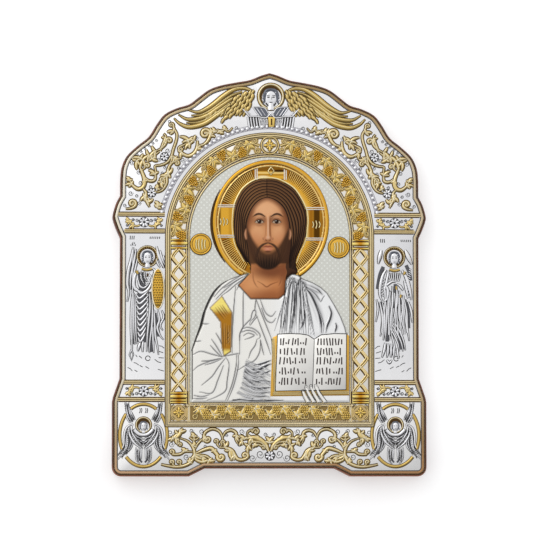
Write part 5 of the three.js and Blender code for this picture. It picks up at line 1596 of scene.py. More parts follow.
rib_shade = metal("rib_shade", (0.17, 0.055, 0.008), 0.3, 0.45)
ribs, rib_cuts = [], []
rib_count = 164
for k in range(2 * rib_count):
    turn = math.tau * k / (2 * rib_count)
    line = [on_halo(turn, reach) for reach in (0.72, 0.775, 0.83, 0.885)]
    if math.sin(turn) < -0.86 or in_arm(*line[0]) or in_arm(*line[-1]):
        continue
    if k % 2:
        ribs.append((np.array(line), np.array([0.2, 0.5, 0.62, 0.72])))
    else:
        rib_cuts.append((np.array(line), np.array([0.15, 0.5, 0.85, 0.95])))
laid("halo_ribs", ribs, halo_low, vine_gilt, on_picture_gilt, 0.9)
laid("halo_cuts", rib_cuts, halo_low, rib_shade, on_picture_gilt, 0.4)
rods = []
for left, right, low, high in arms:
    if high > 80:
        for x in (left, left - 1.5, right, right + 1.5):
            rods.append(([(x, 75.4), (x, high - 0.6 - 0.02 * x * x)], 0.9))
    else:
        near, far = (right + 1.5, left + 1.2) if left < 0 else (left, right - 0.8)
        for y in (low, low - 1.5, high, high + 1.5):
            rods.append(([(near, y), (far, y)], 0.9))
laid("halo_rods", rods, halo_low + 0.5, cream_silver, on_picture, 0.8)
marks = []
for x, y in ((0.9, 82.4), (-36.8, 41.5), (37.3, 39.5)):
    if y > 80:
        marks.append((np.array([(x, y + 3.2), (x + 2.4, y), (x, y - 3.2), (x - 2.4, y), (x, y + 3.2)]), 0.8))
        continue
    for off, tall in ((-2.6, 2.4), (0, 3.2), (2.6, 2.4)):
        marks.append((smooth_line([(x + off - 0.4, y + tall), (x + off + 0.4, y),
                                   (x + off - 0.4, y - tall)], 1), 0.8))
shadowed("halo_marks", marks, halo_low + 0.5, 0.9, bright_gilt, on_picture_gilt, 0.6)
# A dark line of painted shade along the halo's left edge.
halo_left_edge = [on_halo(math.radians(a), 1.0) for a in range(148, 222, 2)]
laid("halo_shadow_line", [(np.array(halo_left_edge) + (-0.7, 0), tapered(len(halo_left_edge), 2.4, 0.2, 0.3, 0.5))],
     picture_top, brown_patina_and_shade, on_picture_gilt, 0.15)

# The two small medallions beside the halo, pressed in the picture's sheet and gilded, each
# with a few plain strokes.
medallions = []
for side, y in ((-1, 23.4), (1, 21.2)):
    x = side * 55.2
    disc = plate("medallion", circle(x, y, 8.3), picture_top - 0.3, picture_top + 0.8, 0.4, 2)
    finish_piece(disc, rich_gilt, on_picture_gilt, 30)
    laid("medallion_rim", [(circle(x, y, 7.8), 1.3)], picture_top + 0.8, rich_gilt, on_picture_gilt, 0.9, 2,
         True)
    laid("medallion_seam", [(circle(x, y, 8.5), 0.7), (circle(x, y, 6.8), 0.5)], picture_top + 0.75,
         brown_patina_and_shade, on_picture_gilt, 0.3, 1, True)
    lines = []
    for off, tall in ((-3.4, 3.6), (-1.3, 4.4), (1.2, 4.2), (3.4, 3.4)):
        lines.append((smooth_line([(x + off, y + tall), (x + off + 0.5 * side, y), (x + off, y - tall)], 1),
                      1.0))
    medallions += lines
shadowed("medallion_strokes", medallions, picture_top + 0.8, 0.8, bright_gilt, on_picture_gilt, 0.6)

# The robe: pressed silver, nearly white, its folds engraved as thin lines on the near side and worked dark and
# deep on the mantle that hangs from the far shoulder. The folds carry painted shade beside them and painted
# highlights on their ridges.
robe_low = picture_top + 0.6
robe_lines = [
    [(-27.4, -10.3), (-28.8, -27.6), (-30.0, -48.4), (-30.1, -63.6)],
    [(-21.3, -15.0), (-21.5, -34.6), (-21.6, -44.1), (-23.7, -48.4), (-24.1, -53.6), (-24.1, -64.9)],
    [(-54.4, -40.3), (-48.8, -40.4)],
    [(-59.6, -54.6), (-54.9, -54.0)],
    [(-62.1, -65.3), (-55.3, -62.3), (-46.6, -64.5), (-38.0, -66.6), (-35.2, -65.9)],
    [(-37.5, -67.7), (-48.4, -70.5), (-57.0, -74.0), (-61.2, -77.5)],
    [(-54.4, -70.1), (-46.6, -69.7), (-39.7, -68.0)],
    [(-51.8, -73.1), (-45.8, -71.4), (-38.8, -68.5)],
    [(-35.3, -66.6), (-32.6, -72.7), (-34.0, -84.9), (-35.3, -93.5), (-42.3, -98.3), (-50.1, -101.3)],
    [(-35.8, -68.0), (-41.4, -75.3), (-46.2, -82.3), (-54.4, -89.2)],
    [(-37.1, -73.6), (-41.4, -84.9), (-46.2, -95.4), (-56.2, -94.6)],
    [(-26.7, -64.9), (-26.9, -73.6), (-30.1, -88.3), (-35.3, -101.3)],
    [(-25.3, -64.9), (-25.3, -74.4), (-28.8, -89.2), (-33.8, -101.5)],
    [(-60.5, -97.4), (-54.4, -98.4), (-48.4, -97.0)],
    [(-60.9, -99.8), (-55.3, -100.1), (-50.1, -99.3)],
    [(-46.6, -52.6), (-42.3, -58.8), (-37.8, -66.6)],
    [(-47.5, -57.5), (-43.2, -62.3), (-38.4, -66.8)],
    [(-43.2, -47.6), (-40.1, -52.8), (-37.5, -59.0)],
    [(-35.2, -65.9), (-30.1, -64.9), (-24.1, -63.7)],
    [(-24.1, -53.6), (-24.1, -48.4), (-21.5, -43.2), (-17.8, -38.9), (-15.2, -36.1), (-14.4, -32.4),
        (-13.0, -29.5), (-11.6, -29.3), (-11.1, -31.9), (-12.6, -35.6), (-15.4, -38.0), (-16.3, -41.1)],
    [(-11.1, -33.0), (-10.2, -34.4), (-13.2, -38.0), (-15.7, -41.5)],
    [(-22.8, -45.1), (-18.9, -43.2), (-13.7, -43.9), (-9.3, -46.9), (-7.8, -49.3), (-8.1, -51.5),
        (-9.9, -52.2)],
    [(-22.3, -46.9), (-18.0, -45.5), (-12.8, -46.5), (-9.9, -49.3)],
    [(-21.0, -49.7), (-17.3, -47.7), (-12.5, -49.3), (-15.4, -51.2), (-20.2, -52.8)],
    [(-10.4, -52.8), (-11.8, -57.5), (-15.1, -62.3), (-17.0, -67.7)],
    [(-7.6, -53.6), (-8.1, -62.3), (-11.9, -69.2), (-18.9, -73.1), (-25.6, -77.2)],
    [(-11.2, -20.8), (-11.9, -27.6), (-12.3, -29.8)],
    [(-10.2, -34.6), (-6.7, -44.1), (-2.4, -55.4), (0.7, -64.7)],
    [(-7.6, -52.8), (-6.2, -59.7), (-4.8, -65.1)],
    [(-10.9, -20.8), (-6.7, -31.9), (-1.5, -45.0), (1.8, -53.6)],
    [(-7.6, -21.1), (-4.1, -30.2), (-0.7, -33.7), (1.9, -34.0), (4.7, -30.2)],
    [(-6.7, -27.6), (-3.3, -36.3), (0.2, -39.2), (2.6, -38.7), (4.7, -35.6)],
    [(-18.9, 0.6), (-30.1, -5.9), (-38.8, -12.4), (-44.7, -18.9)],
    [(-17.6, -0.6), (-28.4, -7.5), (-37.1, -14.6), (-43.2, -20.7)],
    [(-16.3, -1.6), (-25.8, -7.7), (-32.7, -13.7), (-38.8, -17.9)],
    [(-21.5, -2.5), (-31.0, -8.5), (-36.7, -11.6)],
    [(-15.6, -2.3), (-24.1, -9.4), (-26.7, -13.3)],
]
mantle_folds = [
    (2.2, [(22.8, -5.9), (21.0, -15.5), (20.2, -27.6), (18.0, -38.0), (16.3, -46.9)]),
    (1.2, [(19.3, -3.8), (16.3, -10.3), (15.0, -18.9), (13.7, -30.2), (12.8, -45.8)]),
    (0.6, [(18.0, -2.5), (13.2, -12.0), (10.6, -22.4), (7.1, -34.6), (3.7, -45.8)]),
    (0.8, [(11.1, -21.5), (9.3, -31.1), (8.9, -39.8), (9.2, -47.1)]),
    (0.7, [(12.8, -18.9), (11.7, -31.1), (11.1, -39.8), (11.3, -47.1)]),
    (2.0, [(24.7, -3.3), (23.6, -7.2), (21.9, -9.0), (19.3, -5.9)]),
    (0.7, [(25.4, -5.9), (28.0, -14.6), (31.4, -27.6), (33.6, -38.0), (35.8, -49.7)]),
    (1.5, [(27.5, -29.3), (28.0, -34.6), (26.2, -41.5), (24.5, -44.3)]),
    (2.6, [(26.7, -7.2), (30.6, -13.7), (34.9, -21.5), (39.2, -31.9), (41.0, -39.8), (41.5, -47.1)]),
    (0.6, [(37.9, -25.9), (41.4, -34.6), (43.1, -41.5), (42.7, -47.1)]),
    (2.4, [(28.8, -9.4), (34.0, -11.6), (39.2, -14.2), (42.0, -16.5)]),
    (1.4, [(29.7, -11.6), (34.9, -15.6), (40.1, -20.7)]),
    (0.6, [(43.7, -17.6), (42.0, -19.8), (40.6, -22.2), (37.1, -18.1)]),
    (1.6, [(47.5, -26.3), (49.2, -31.1), (48.3, -36.3), (46.2, -41.5), (45.0, -47.1)]),
    (1.3, [(52.7, -39.8), (53.3, -42.4), (52.2, -47.1)]),
    (0.6, [(25.8, -12.0), (27.5, -21.5), (29.7, -30.2)]),
]
waist_folds = [
    (2.4, [(-18.9, -73.6), (-15.4, -75.7), (-11.1, -77.5), (-7.6, -76.2)]),
    (1.6, [(-11.9, -71.8), (-6.7, -69.7), (1.1, -65.6)]),
    (2.0, [(-13.2, -75.3), (-7.6, -74.0), (-3.3, -71.0), (1.1, -68.4)]),
    (1.2, [(-6.7, -78.3), (-3.3, -76.2), (0.6, -74.0)]),
    (2.4, [(-19.7, -78.3), (-15.4, -82.3), (-10.2, -84.0), (-5.0, -83.1), (0.2, -82.7)]),
    (1.6, [(-18.9, -76.2), (-14.5, -79.7), (-9.3, -80.5), (-4.1, -79.7)]),
    (2.6, [(-20.2, -83.6), (-15.4, -87.0), (-11.1, -89.2), (-5.0, -88.8), (0.2, -87.5)]),
    (1.8, [(-21.5, -87.5), (-16.3, -90.9), (-11.1, -92.7), (-5.0, -92.5), (-0.1, -91.4)]),
    (1.6, [(-23.2, -91.4), (-18.0, -94.4), (-11.9, -95.7), (-6.7, -95.5), (-0.5, -94.6)]),
    (1.4, [(-25.8, -95.3), (-19.7, -97.9), (-11.9, -98.3), (-0.5, -98.0)]),
    (1.8, [(-29.3, -101.2), (-22.3, -100.5), (-13.7, -100.9), (-1.5, -100.5), (10.6, -101.2)]),
    (0.8, [(-24.9, -94.0), (-20.6, -96.6), (-15.4, -97.4)]),
    (1.0, [(-18.9, -85.3), (-13.7, -88.3), (-8.5, -90.9)]),
]
clavus = [(-47.9, -27.6), (-38.4, -18.1), (-35.2, -23.4), (-30.3, -31.1), (-31.2, -62.3),
        (-36.7, -65.8), (-38.4, -58.8), (-39.3, -38.9)]
clavus_lines = [
    [(-43.6, -27.2), (-36.7, -36.3)],
    [(-41.9, -26.3), (-35.2, -35.0)],
    [(-40.1, -25.4), (-34.0, -33.7)],
    [(-38.4, -25.0), (-33.2, -32.4)],
    [(-37.5, -39.8), (-37.1, -62.3)],
    [(-35.8, -39.8), (-35.5, -58.8)],
    [(-34.0, -41.5), (-33.8, -57.5)],
    [(-32.6, -41.5), (-32.6, -57.1)],
    [(-32.3, -46.7), (-34.5, -49.3)],
    [(-32.3, -50.2), (-34.7, -52.8)],
    [(-32.3, -53.6), (-34.8, -56.2)],
]
book_page = [
    [(6.1, -48.6), (15.8, -48.1), (24.5, -48.4), (30.6, -49.5), (35.4, -52.8), (33.9, -93.1), (4.4, -93.7)],
    [(35.4, -52.8), (41.0, -49.1), (51.4, -48.1), (61.1, -48.3), (60.7, -92.5), (33.9, -93.1)],
]
fingers = [
    [(26.4, -93.6), (27.4, -96.6), (30.4, -102.2)],
    [(28.8, -90.4), (30.8, -95.4), (34.9, -102.2)],
    [(32.6, -89.8), (34.9, -95.2), (39.0, -102.2)],
    [(36.6, -89.4), (39.2, -95.4), (43.9, -102.2)],
]


# The folds at the waist fall a little to the right, and stop at the robe's foot.
waist_folds = [(width, [(x, max(y - 0.18 * max(x + 20, 0), -101.2)) for x, y in line])
               for width, line in waist_folds]
random.seed(11)
for k in range(15):
    top = (14.6 + 1.0 * k, -1.8 - 0.35 * k)
    foot = (7.6 + 1.95 * k, -48.5)
    middle = ((top[0] + foot[0]) / 2 + 1.2 * math.sin(1.7 * k), -22.0 - 0.4 * k)
    mantle_folds.append((random.choice((0.5, 0.6, 0.9)), [top, middle, foot]))
for k in range(16):
    y = -68.5 - 1.7 * k
    fall = random.choice((6.0, 7.5, 9.0))
    line = [(-18.6 - 0.3 * k, y), (-13.4 - 0.2 * k, y - 0.4 * fall), (-6.5, y - 0.75 * fall),
            (0.2, y - fall - 1.4)]
    if line[-1][1] > -101:
        waist_folds.append((random.choice((0.4, 0.7, 1.2)), line))


def robe_shape(points):
    edge, _, _ = from_line(points, robe_outline, True)
    heights = robe_low + 0.35 + 0.35 * step_up(edge, 0, 1.4)
    right = step_up(points[:, 0], -10, 20)
    colours = np.outer(1 - right, (0.93, 0.915, 0.86)) + np.outer(right, (0.93, 0.935, 0.93))
    sleeve = blob(points, -46, -78, 18, 30, 0.6) + blob(points, -48, -48, 13, 20, 0.6)
    heights += 0.35 * sleeve
    cloak = step_up(points[:, 0], 4, 12) * step_up(points[:, 1], -52, -46)
    heights += 0.3 * cloak
    for line in robe_lines:
        cover = stroke(points, line, 1.0, 0.4, 0.6, 0.5)
        heights -= 0.2 * cover
        lay(colours, cover, (0.06, 0.055, 0.05), 0.92)
        # Painted shade beside each engraved line.
        lay(colours, stroke(points, shifted(line, 0.9, 0.3), 1.8, 1.6, 0.4, 0.3), (0.7, 0.7, 0.7), 0.35)
    # Painted shade: a broad grey band along each fold.
    for width, line in mantle_folds + waist_folds:
        lay(colours, stroke(points, line, 2.0 * width, 1.6 * width, 0.5, 0.2), (0.34, 0.34, 0.35), 0.7)
    for width, line in mantle_folds + waist_folds:
        # Each fold's groove is dark, as oxide and painted shade.
        cover = stroke(points, line, 0.9 * width, 0.5, 0.6, 0.2)
        heights -= 0.3 * cover
        lay(colours, cover, (0.03, 0.03, 0.034), 0.95)
        # A painted highlight on the ridge beside each fold.
        ridge = stroke(points, shifted(line, -0.7 * width, 0.3 * width), 0.6 * width, 0.5, 0.3, 0.2)
        heights += 0.3 * ridge
        lay(colours, ridge, (0.95, 0.95, 0.95), 0.8)
    band = inside(points, clavus)
    gap, _, _ = from_line(points, clavus, True)
    cover = band * step_up(gap, 0, 0.4)
    heights += 0.25 * cover
    fall = step_up(points[:, 1], -33, -27) + (1 - step_up(points[:, 1], -63, -59)) * 0.9
    tone = np.outer(fall, (1.0, 0.83, 0.22)) + np.outer(1 - fall, (0.46, 0.2, 0.02))
    amount = cover[:, None]
    colours[:] = colours * (1 - amount) + np.clip(tone, 0, 1) * amount
    for line in clavus_lines:
        lay(colours, stroke(points, line, 0.7, 0.4), (0.12, 0.05, 0.01), 0.85)
        # A painted highlight beside each line on the gilt band.
        lay(colours, stroke(points, shifted(line, 0.8, 0.2), 0.4, 0.4), (0.8, 0.5, 0.2), 0.5)
    lay(colours, (gap < 0.5) * 1.0, (0.2, 0.12, 0.04), 0.75)
    side_edge = (points[:, 1] > -100.5) & (points[:, 0] < 62.8)
    lay(colours, (1 - step_up(edge, 0.5, 1.1)) * side_edge, (0.06, 0.055, 0.05), 0.9)
    return heights, np.clip(colours, 0, 1)


seam_line = smooth_line([(-22.0, -1.2), (-30.0, -4.2), (-38.6, -9.0), (-44.6, -15.2), (-49.0, -23.0),
                         (-53.0, -33.0),
                         (-55.4, -42.0), (-59.4, -53.0), (-62.6, -62.0)], 1.0)
laid("robe_seam", [(seam_line, tapered(len(seam_line), 2.2, 0.3, 0.35, 0.4))], picture_top, oxide_and_shade,
     on_picture, 0.2)
robe = relief("robe", robe_outline, 0.5, picture_top - 0.3, robe_shape)
finish_piece(robe, tinted_metal("pressed_silver", 0.24, 0.3), on_picture, 50)

# The open book: two silver pages over a gilt cover, each page engraved with five rows of
# plain strokes, and the fingers that hold it from below.
cover_line = [(2.2, -51.0), (6.3, -48.9), (24.5, -49.2), (35.4, -54.2), (46.0, -49.2), (62.4, -48.6),
              (63.4, -49.6),
              (63.3, -97.2), (0.3, -98.0)]
page_silver = metal("page_silver", (0.93, 0.915, 0.87), 0.32, 0.42)
book_gilt = metal("book_gilt", (0.76, 0.44, 0.08), recess=(0.06, 0.03, 0.005))
cover = plate("book_cover", cover_line, picture_top, 18.5, 0.5, 2)
finish_piece(cover, book_gilt, on_picture_gilt, 30)
leaf_lines = [([(1.3 + 0.9 * k - 0.045 * y, -52.0 + y) for y in (0, -22, -44)], 0.35) for k in range(3)]
leaf_lines += [([(2.0, -97.2 + 0.9 * k), (33.0, -96.6 + 0.9 * k), (62.6, -96.2 + 0.9 * k)], 0.35)
               for k in range(3)]
laid("leaf_edges", leaf_lines, 18.5, warm_brown, on_picture_gilt, 0.3)
# Painted highlights beside the lines of the page edges.
leaf_lights = [(np.array(line) + (0.45, 0.45), width) for line, width in leaf_lines]
laid("leaf_lights", leaf_lights, 18.5, bright_gilt, on_picture_gilt, 0.4)
for page in book_page:
    piece = plate("book_page", page, picture_top, 19.1, 0.35, 2)
    finish_piece(piece, page_silver, on_picture, 30)
edge = [[(6.0, -48.6), (4.3, -93.9), (33.9, -93.4), (60.8, -92.8), (61.2, -48.4)]]
edge.append([(6.1, -48.4), (15.8, -47.9), (24.5, -48.2), (30.6, -49.2), (35.4, -52.4), (41, -48.9),
             (51.4, -47.9), (61.1, -48)])
edge.append([(35.4, -53.2), (33.9, -93.0)])
laid("page_lines", [(np.array(line, float), 0.6) for line in edge], 19.05, oxide_and_shade, on_picture, 0.4)
random.seed(7)
strokes = []
for left, right in ((8.6, 30.8), (38.4, 58.6)):
    for row, y in enumerate((-54.4, -62.2, -69.6, -77.8, -86.0)):
        x = left - 0.3 * row
        while x < right - 0.3 * row:
            tall = random.choice((2.9, 2.9, 2.6, 2.0))
            lean = random.choice((-0.35, 0, 0, 0.35))
            if random.random() < 0.22:
                strokes.append((np.array([(x, y - 0.4), (x + 0.1, y - 1.9)]), 1.1))
                x += 2.1
                continue
            strokes.append((np.array([(x - lean, y + tall), (x, y), (x + lean, y - tall)]), 1.1))
            x += random.choice((2.1, 2.4, 2.4, 3.3))
laid("page_strokes", strokes, 19.1, brown_grey, on_picture, 0.45)
finger_lines = [smooth_line(line, 1.0) for line in fingers]
finger_lines = [(line, np.linspace(2.7, 3.7, len(line))) for line in finger_lines]
laid("fingers", finger_lines, 17.4, page_silver, on_picture, 1.3, 3)
outlines = []
for line, widths in finger_lines:
    outlines.append((line + np.column_stack([-0.52 * widths, -0.1 * widths]), 0.4))
    outlines.append((np.array([line[0] + (-1.2, -0.3), line[0] + (-0.9, 1.0), line[0] + (0.3, 1.3),
                               line[0] + (1.2, 0.4)]), 0.4))
    outlines.append((np.array([line[1] + (-0.6, 0.5), line[1] + (0.6, 0.7)]), 0.3))
outlines.append((line + np.column_stack([0.5 * widths, 0 * widths]), 0.4))
laid("finger_lines", outlines, 19.12, oxide_and_shade, on_picture, 0.5)

# The painted inlay: head, hair and neck on a slightly domed panel set in the silver, in thin
# smooth layers of paint from dark to light. The face is a general one, of plain proportions.
def paint(red, green, blue):
    """A paint's colour as the eye reads it, turned into light."""
    values = np.array([red, green, blue]) / 255
    return np.where(values > 0.04045, ((values + 0.055) / 1.055) ** 2.4, values / 12.92)


face_x = -1.7
hairline = 60.5
eye_y = 41.4
mouth_y = 20.8
eye_gap = 6.9
brow_left = [(-2.3, hairline), (-9.5, 57.6), (-14.6, 51.5), (-17.8, 43), (-19.0, 33), (-18.6, 24),
             (-17.0, 15), (-15.2, 5)]
brow_right = [(-2.3, hairline), (5.0, 57.8), (11.0, 51.8), (14.6, 43), (15.9, 34), (16.0, 25), (15.6, 15),
              (16.5, 5)]
face_outline = [tuple(p) for p in smooth_line(
    [(-2.3, hairline), (-9, 57.8), (-14.3, 51.8), (-17.4, 43.5), (-18.4, 35), (-17.8, 27), (-16, 19),
     (-12.8, 11.5), (-7.5, 5.6), (face_x, 3.8), (4.3, 5.6), (9.4, 11.5), (12.6, 19), (14.4, 27), (15.1, 35),
     (14.1, 43.5), (10.8, 51.8), (4.6, 57.8)], 1.5, True)]


def even(line, count):
    """The line again, as so many evenly spaced points."""
    line = smooth_line(line, 0.5)
    along = np.concatenate([[0], np.cumsum(np.linalg.norm(np.diff(line, axis=0), axis=1))])
    wanted = np.linspace(0, along[-1], count)
    return np.column_stack([np.interp(wanted, along, line[:, axis]) for axis in (0, 1)])


def paint_hair(points, colours, heights):
    side = step_up(points[:, 0], -12, 22)
    base = np.outer(1 - side, paint(92, 60, 36)) + np.outer(side, paint(70, 42, 26))
    colours[:] = base
    lay(colours, step_up(from_line(points, head_outline, True)[0], 4.5, 0), paint(36, 21, 14), 0.65)
    strands = []
    for inner, outer in ((brow_left, hair_left), (brow_right, hair_right)):
        near, far = even(inner, 24), even(outer, 24)
        far[0] = (-2.4, 75.6)
        for k in range(7):
            share = (k + 0.35) / 7
            line = near * (1 - share) + far * share
            line[0] = (-2.4, hairline + share * (75.6 - hairline))
            wave = 0.9 * np.sin(np.linspace(0, 11, 24) + 0.6 * k) * np.linspace(0, 1, 24)
            strands.append((line + np.column_stack([wave, 0 * wave]), far - near, outer is hair_left, k))
    for line, across, left, k in strands:
        for lean, width, tone in ((0.05, 0.9, 0.8), (0.1, 0.5, 0.5)):
            light = line + lean * across
            lay(colours, stroke(points, light, width, 0.6, 0.4, 0.3, False), paint(158, 112, 70),
                tone if left else 0.65 * tone)
    for line, across, left, k in strands:
        lay(colours, stroke(points, line + 0.078 * across, 0.35, 0.3, 0.5, 0.5, False), paint(52, 30, 18),
            0.6)
        cover = stroke(points, line, 1.1, 0.4, 0.6, 0.8, False)
        lay(colours, cover, paint(28, 14, 9), 0.95)
        heights -= 0.16 * cover
    lay(colours, stroke(points, [(-2.4, 76), (-2.6, 68), (-2.3, hairline)], 0.8, 0.6, 0.6, 0.6),
        paint(36, 20, 14), 0.85)


def paint_neck(points, colours):
    lock = 12.9 + 0.5 * np.sin(0.7 * points[:, 1] + 0.8)
    left_end = 3.5 + 0.8 * np.sin(2.2 * points[:, 0])
    below = (1 - step_up(points[:, 1] - left_end, -1.0, 0.5)) * (1 - step_up(points[:, 0] - lock, -0.4, 0.4))
    column = step_up(points[:, 0], -15.5, -14.6) * (1 - step_up(points[:, 0] - lock, -0.4, 0.4))
    cover = np.maximum(below, column * (1 - step_up(points[:, 1], 6, 9)))
    lay(colours, cover, paint(206, 134, 82))
    lay(colours, cover * blob(points, -12, -8, 10, 9, 0.8), paint(232, 166, 112), 0.75)
    lay(colours, cover * blob(points, 0, -20, 18, 7, 0.7), paint(150, 84, 46), 0.75)
    lay(colours, cover * blob(points, 1, 2.5, 14, 6.5, 0.7), paint(120, 66, 38), 0.9)
    lay(colours, cover * step_up(points[:, 0], 5, 12), paint(126, 68, 38), 0.7)
    for line, width in (([(-13.6, 1), (-13.2, -5), (-11.0, -9.6), (-9.5, -11)], 0.8),
                        ([(-10.0, -6.0), (-5.5, -8.6), (-2.6, -10.6), (1.2, -8.4), (6.2, -6.6)], 0.9),
                        ([(9.5, -1), (9.0, -5.5), (7.2, -9.5)], 0.9)):
        lay(colours, stroke(points, line, width, 1.0, 0.3, 0.3), paint(116, 60, 32), 0.75)
        lay(colours, stroke(points, shifted(line, 0, -1.5), width, 1.4, 0.3, 0.3), paint(208, 140, 94), 0.4)


def paint_face(points, colours, heights):
    x, y = points[:, 0], points[:, 1]
    gap, _, _ = from_line(points, face_outline, True)
    within = inside(points, face_outline)
    deep = np.where(within, gap, -gap)
    cover = step_up(deep, -0.3, 0.5)
    heights += 0.5 * step_up(deep, -0.5, 5)
    lay(colours, cover, paint(202, 134, 84))
    lay(colours, cover * blob(points, face_x - 1.5, 51.5, 11, 7.5, 0.75), paint(240, 182, 134), 0.95)
    for side in (-1, 1):
        lay(colours, cover * blob(points, face_x + side * 8.2, 33, 5.8, 6.6, 0.75), paint(236, 176, 126),
            0.85)
        lay(colours, cover * blob(points, face_x + side * 9.5, 28.5, 4.2, 4.5, 0.9), paint(206, 128, 84), 0.4)
        lay(colours, cover * blob(points, face_x + side * 13.5, 46, 2.6, 7, 0.9), paint(150, 94, 58), 0.6)
    lay(colours, cover * step_up(x, 7, 15), paint(146, 88, 52), 0.6)
    lay(colours, cover * (1 - step_up(deep, 0.4, 4.5)), paint(122, 72, 44), 0.75)
    lay(colours, cover * (1 - step_up(deep, 0.0, 1.2)), paint(82, 46, 30), 0.6)

    for side in (-1, 1):
        ex = face_x + side * eye_gap
        lay(colours, blob(points, ex, eye_y + 0.5, 5.4, 3.6, 0.6), paint(150, 98, 66), 0.6)
        lay(colours, blob(points, ex - side * 3.2, eye_y + 2.0, 2.2, 2.6, 0.8), paint(120, 72, 46), 0.6)
        upper = [(ex - 3.7, eye_y - 0.4), (ex - 2.1, eye_y + 1.15), (ex, eye_y + 1.7),
                 (ex + 2.1, eye_y + 1.15), (ex + 3.7, eye_y - 0.4)]
        lower = [(ex - 3.5, eye_y - 0.5), (ex - 1.8, eye_y - 1.35), (ex, eye_y - 1.6),
                 (ex + 1.8, eye_y - 1.35), (ex + 3.5, eye_y - 0.5)]
        almond = list(smooth_line(upper, 0.5)) + list(smooth_line(lower[::-1], 0.5))
        gap_eye, _, _ = from_line(points, almond, True)
        deep_eye = np.where(inside(points, almond), gap_eye, -gap_eye)
        eye = step_up(deep_eye, -0.15, 0.25)
        lay(colours, eye, paint(200, 178, 150))
        lay(colours, eye * (1 - step_up(deep_eye, 0.1, 1.0)), paint(150, 122, 104), 0.6)
        lay(colours, eye * blob(points, ex, eye_y + 0.2, 1.75, 1.75, 0.16), paint(64, 36, 22), 1)
        lay(colours, eye * blob(points, ex, eye_y + 0.2, 0.95, 0.95, 0.25), paint(14, 9, 8), 1)
        lay(colours, eye * blob(points, ex - 0.55, eye_y + 0.75, 0.36, 0.36, 0.4), paint(238, 230, 220), 0.9)
        lay(colours, stroke(points, upper, 0.75, 0.35, 0.5, 0.6), paint(38, 20, 14), 0.95)
        lay(colours, stroke(points, lower, 0.3, 0.4, 0.3, 0.5), paint(96, 56, 38), 0.7)
        crease = shifted(upper, 0, 1.15)
        lay(colours, stroke(points, crease, 0.35, 0.5, 0.2, 0.4), paint(110, 64, 42), 0.75)
        lay(colours, stroke(points, shifted(upper, 0, 2.1), 0.9, 0.9, 0.2, 0.2), paint(218, 164, 126), 0.5)
        under = [(ex - 3.2, eye_y - 2.3), (ex, eye_y - 3.3), (ex + 3.2, eye_y - 2.3)]
        lay(colours, stroke(points, under, 0.5, 1.0, 0.2, 0.2), paint(150, 96, 66), 0.55)
        brow = [(face_x + side * 2.6, eye_y + 4.3), (face_x + side * 5.4, eye_y + 5.9),
                (face_x + side * 8.6, eye_y + 6.1),
                (face_x + side * 12.2, eye_y + 3.9)]
        lay(colours, stroke(points, brow, 1.7, 0.7, 0.5, 0.2), paint(48, 27, 18), 0.93)
        lay(colours, stroke(points, shifted(brow, 0, 1.5), 0.9, 1.0, 0.2, 0.2), paint(226, 172, 134), 0.45)
        ear = blob(points, face_x + side * 17.3, 31.5, 1.5, 4.2, 0.3)
        lay(colours, ear * (1 - cover), paint(196, 134, 94), 0.9)
        lay(colours, stroke(points, [(face_x + side * 17.8, 34.5), (face_x + side * 18.3, 31),
                                     (face_x + side * 17.2, 27.8)],
                            0.5, 0.4), paint(226, 176, 140), 0.7)

    ridge = [(face_x, eye_y + 4), (face_x, 37), (face_x, 31), (face_x, 28.6)]
    lay(colours, stroke(points, [(face_x + 1.9, eye_y + 4.5), (face_x + 1.5, 37), (face_x + 1.9, 31),
                                 (face_x + 2.6, 28)],
                        1.4, 1.1, 0.6, 0.7), paint(140, 84, 52), 0.75)
    lay(colours, stroke(points, [(face_x - 2.2, eye_y + 4.5), (face_x - 1.7, 37), (face_x - 2.1, 31),
                                 (face_x - 2.7, 28.4)],
                        0.8, 0.9, 0.5, 0.6), paint(164, 104, 68), 0.6)
    lay(colours, stroke(points, ridge, 1.3, 0.9, 0.5, 0.9), paint(234, 186, 150), 0.85)
    lay(colours, blob(points, face_x, 28.6, 1.7, 1.4, 0.6), paint(232, 180, 144), 0.7)
    heights += 0.5 * stroke(points, ridge, 3.4, 2.2, 0.5, 1.0)
    for side in (-1, 1):
        lay(colours, blob(points, face_x + side * 2.6, 27.9, 1.2, 1.3, 0.5), paint(196, 130, 92), 0.6)
        lay(colours, stroke(points, [(face_x + side * 3.9, 28.9), (face_x + side * 4.1, 27.6),
                                     (face_x + side * 3.3, 26.7)],
                            0.45, 0.4), paint(96, 54, 34), 0.7)
        lay(colours, blob(points, face_x + side * 1.6, 26.7, 0.8, 0.42, 0.5, side * 12), paint(60, 30, 20),
            0.8)
    lay(colours, blob(points, face_x, 25.6, 3.0, 1.0, 0.8), paint(140, 84, 56), 0.6)

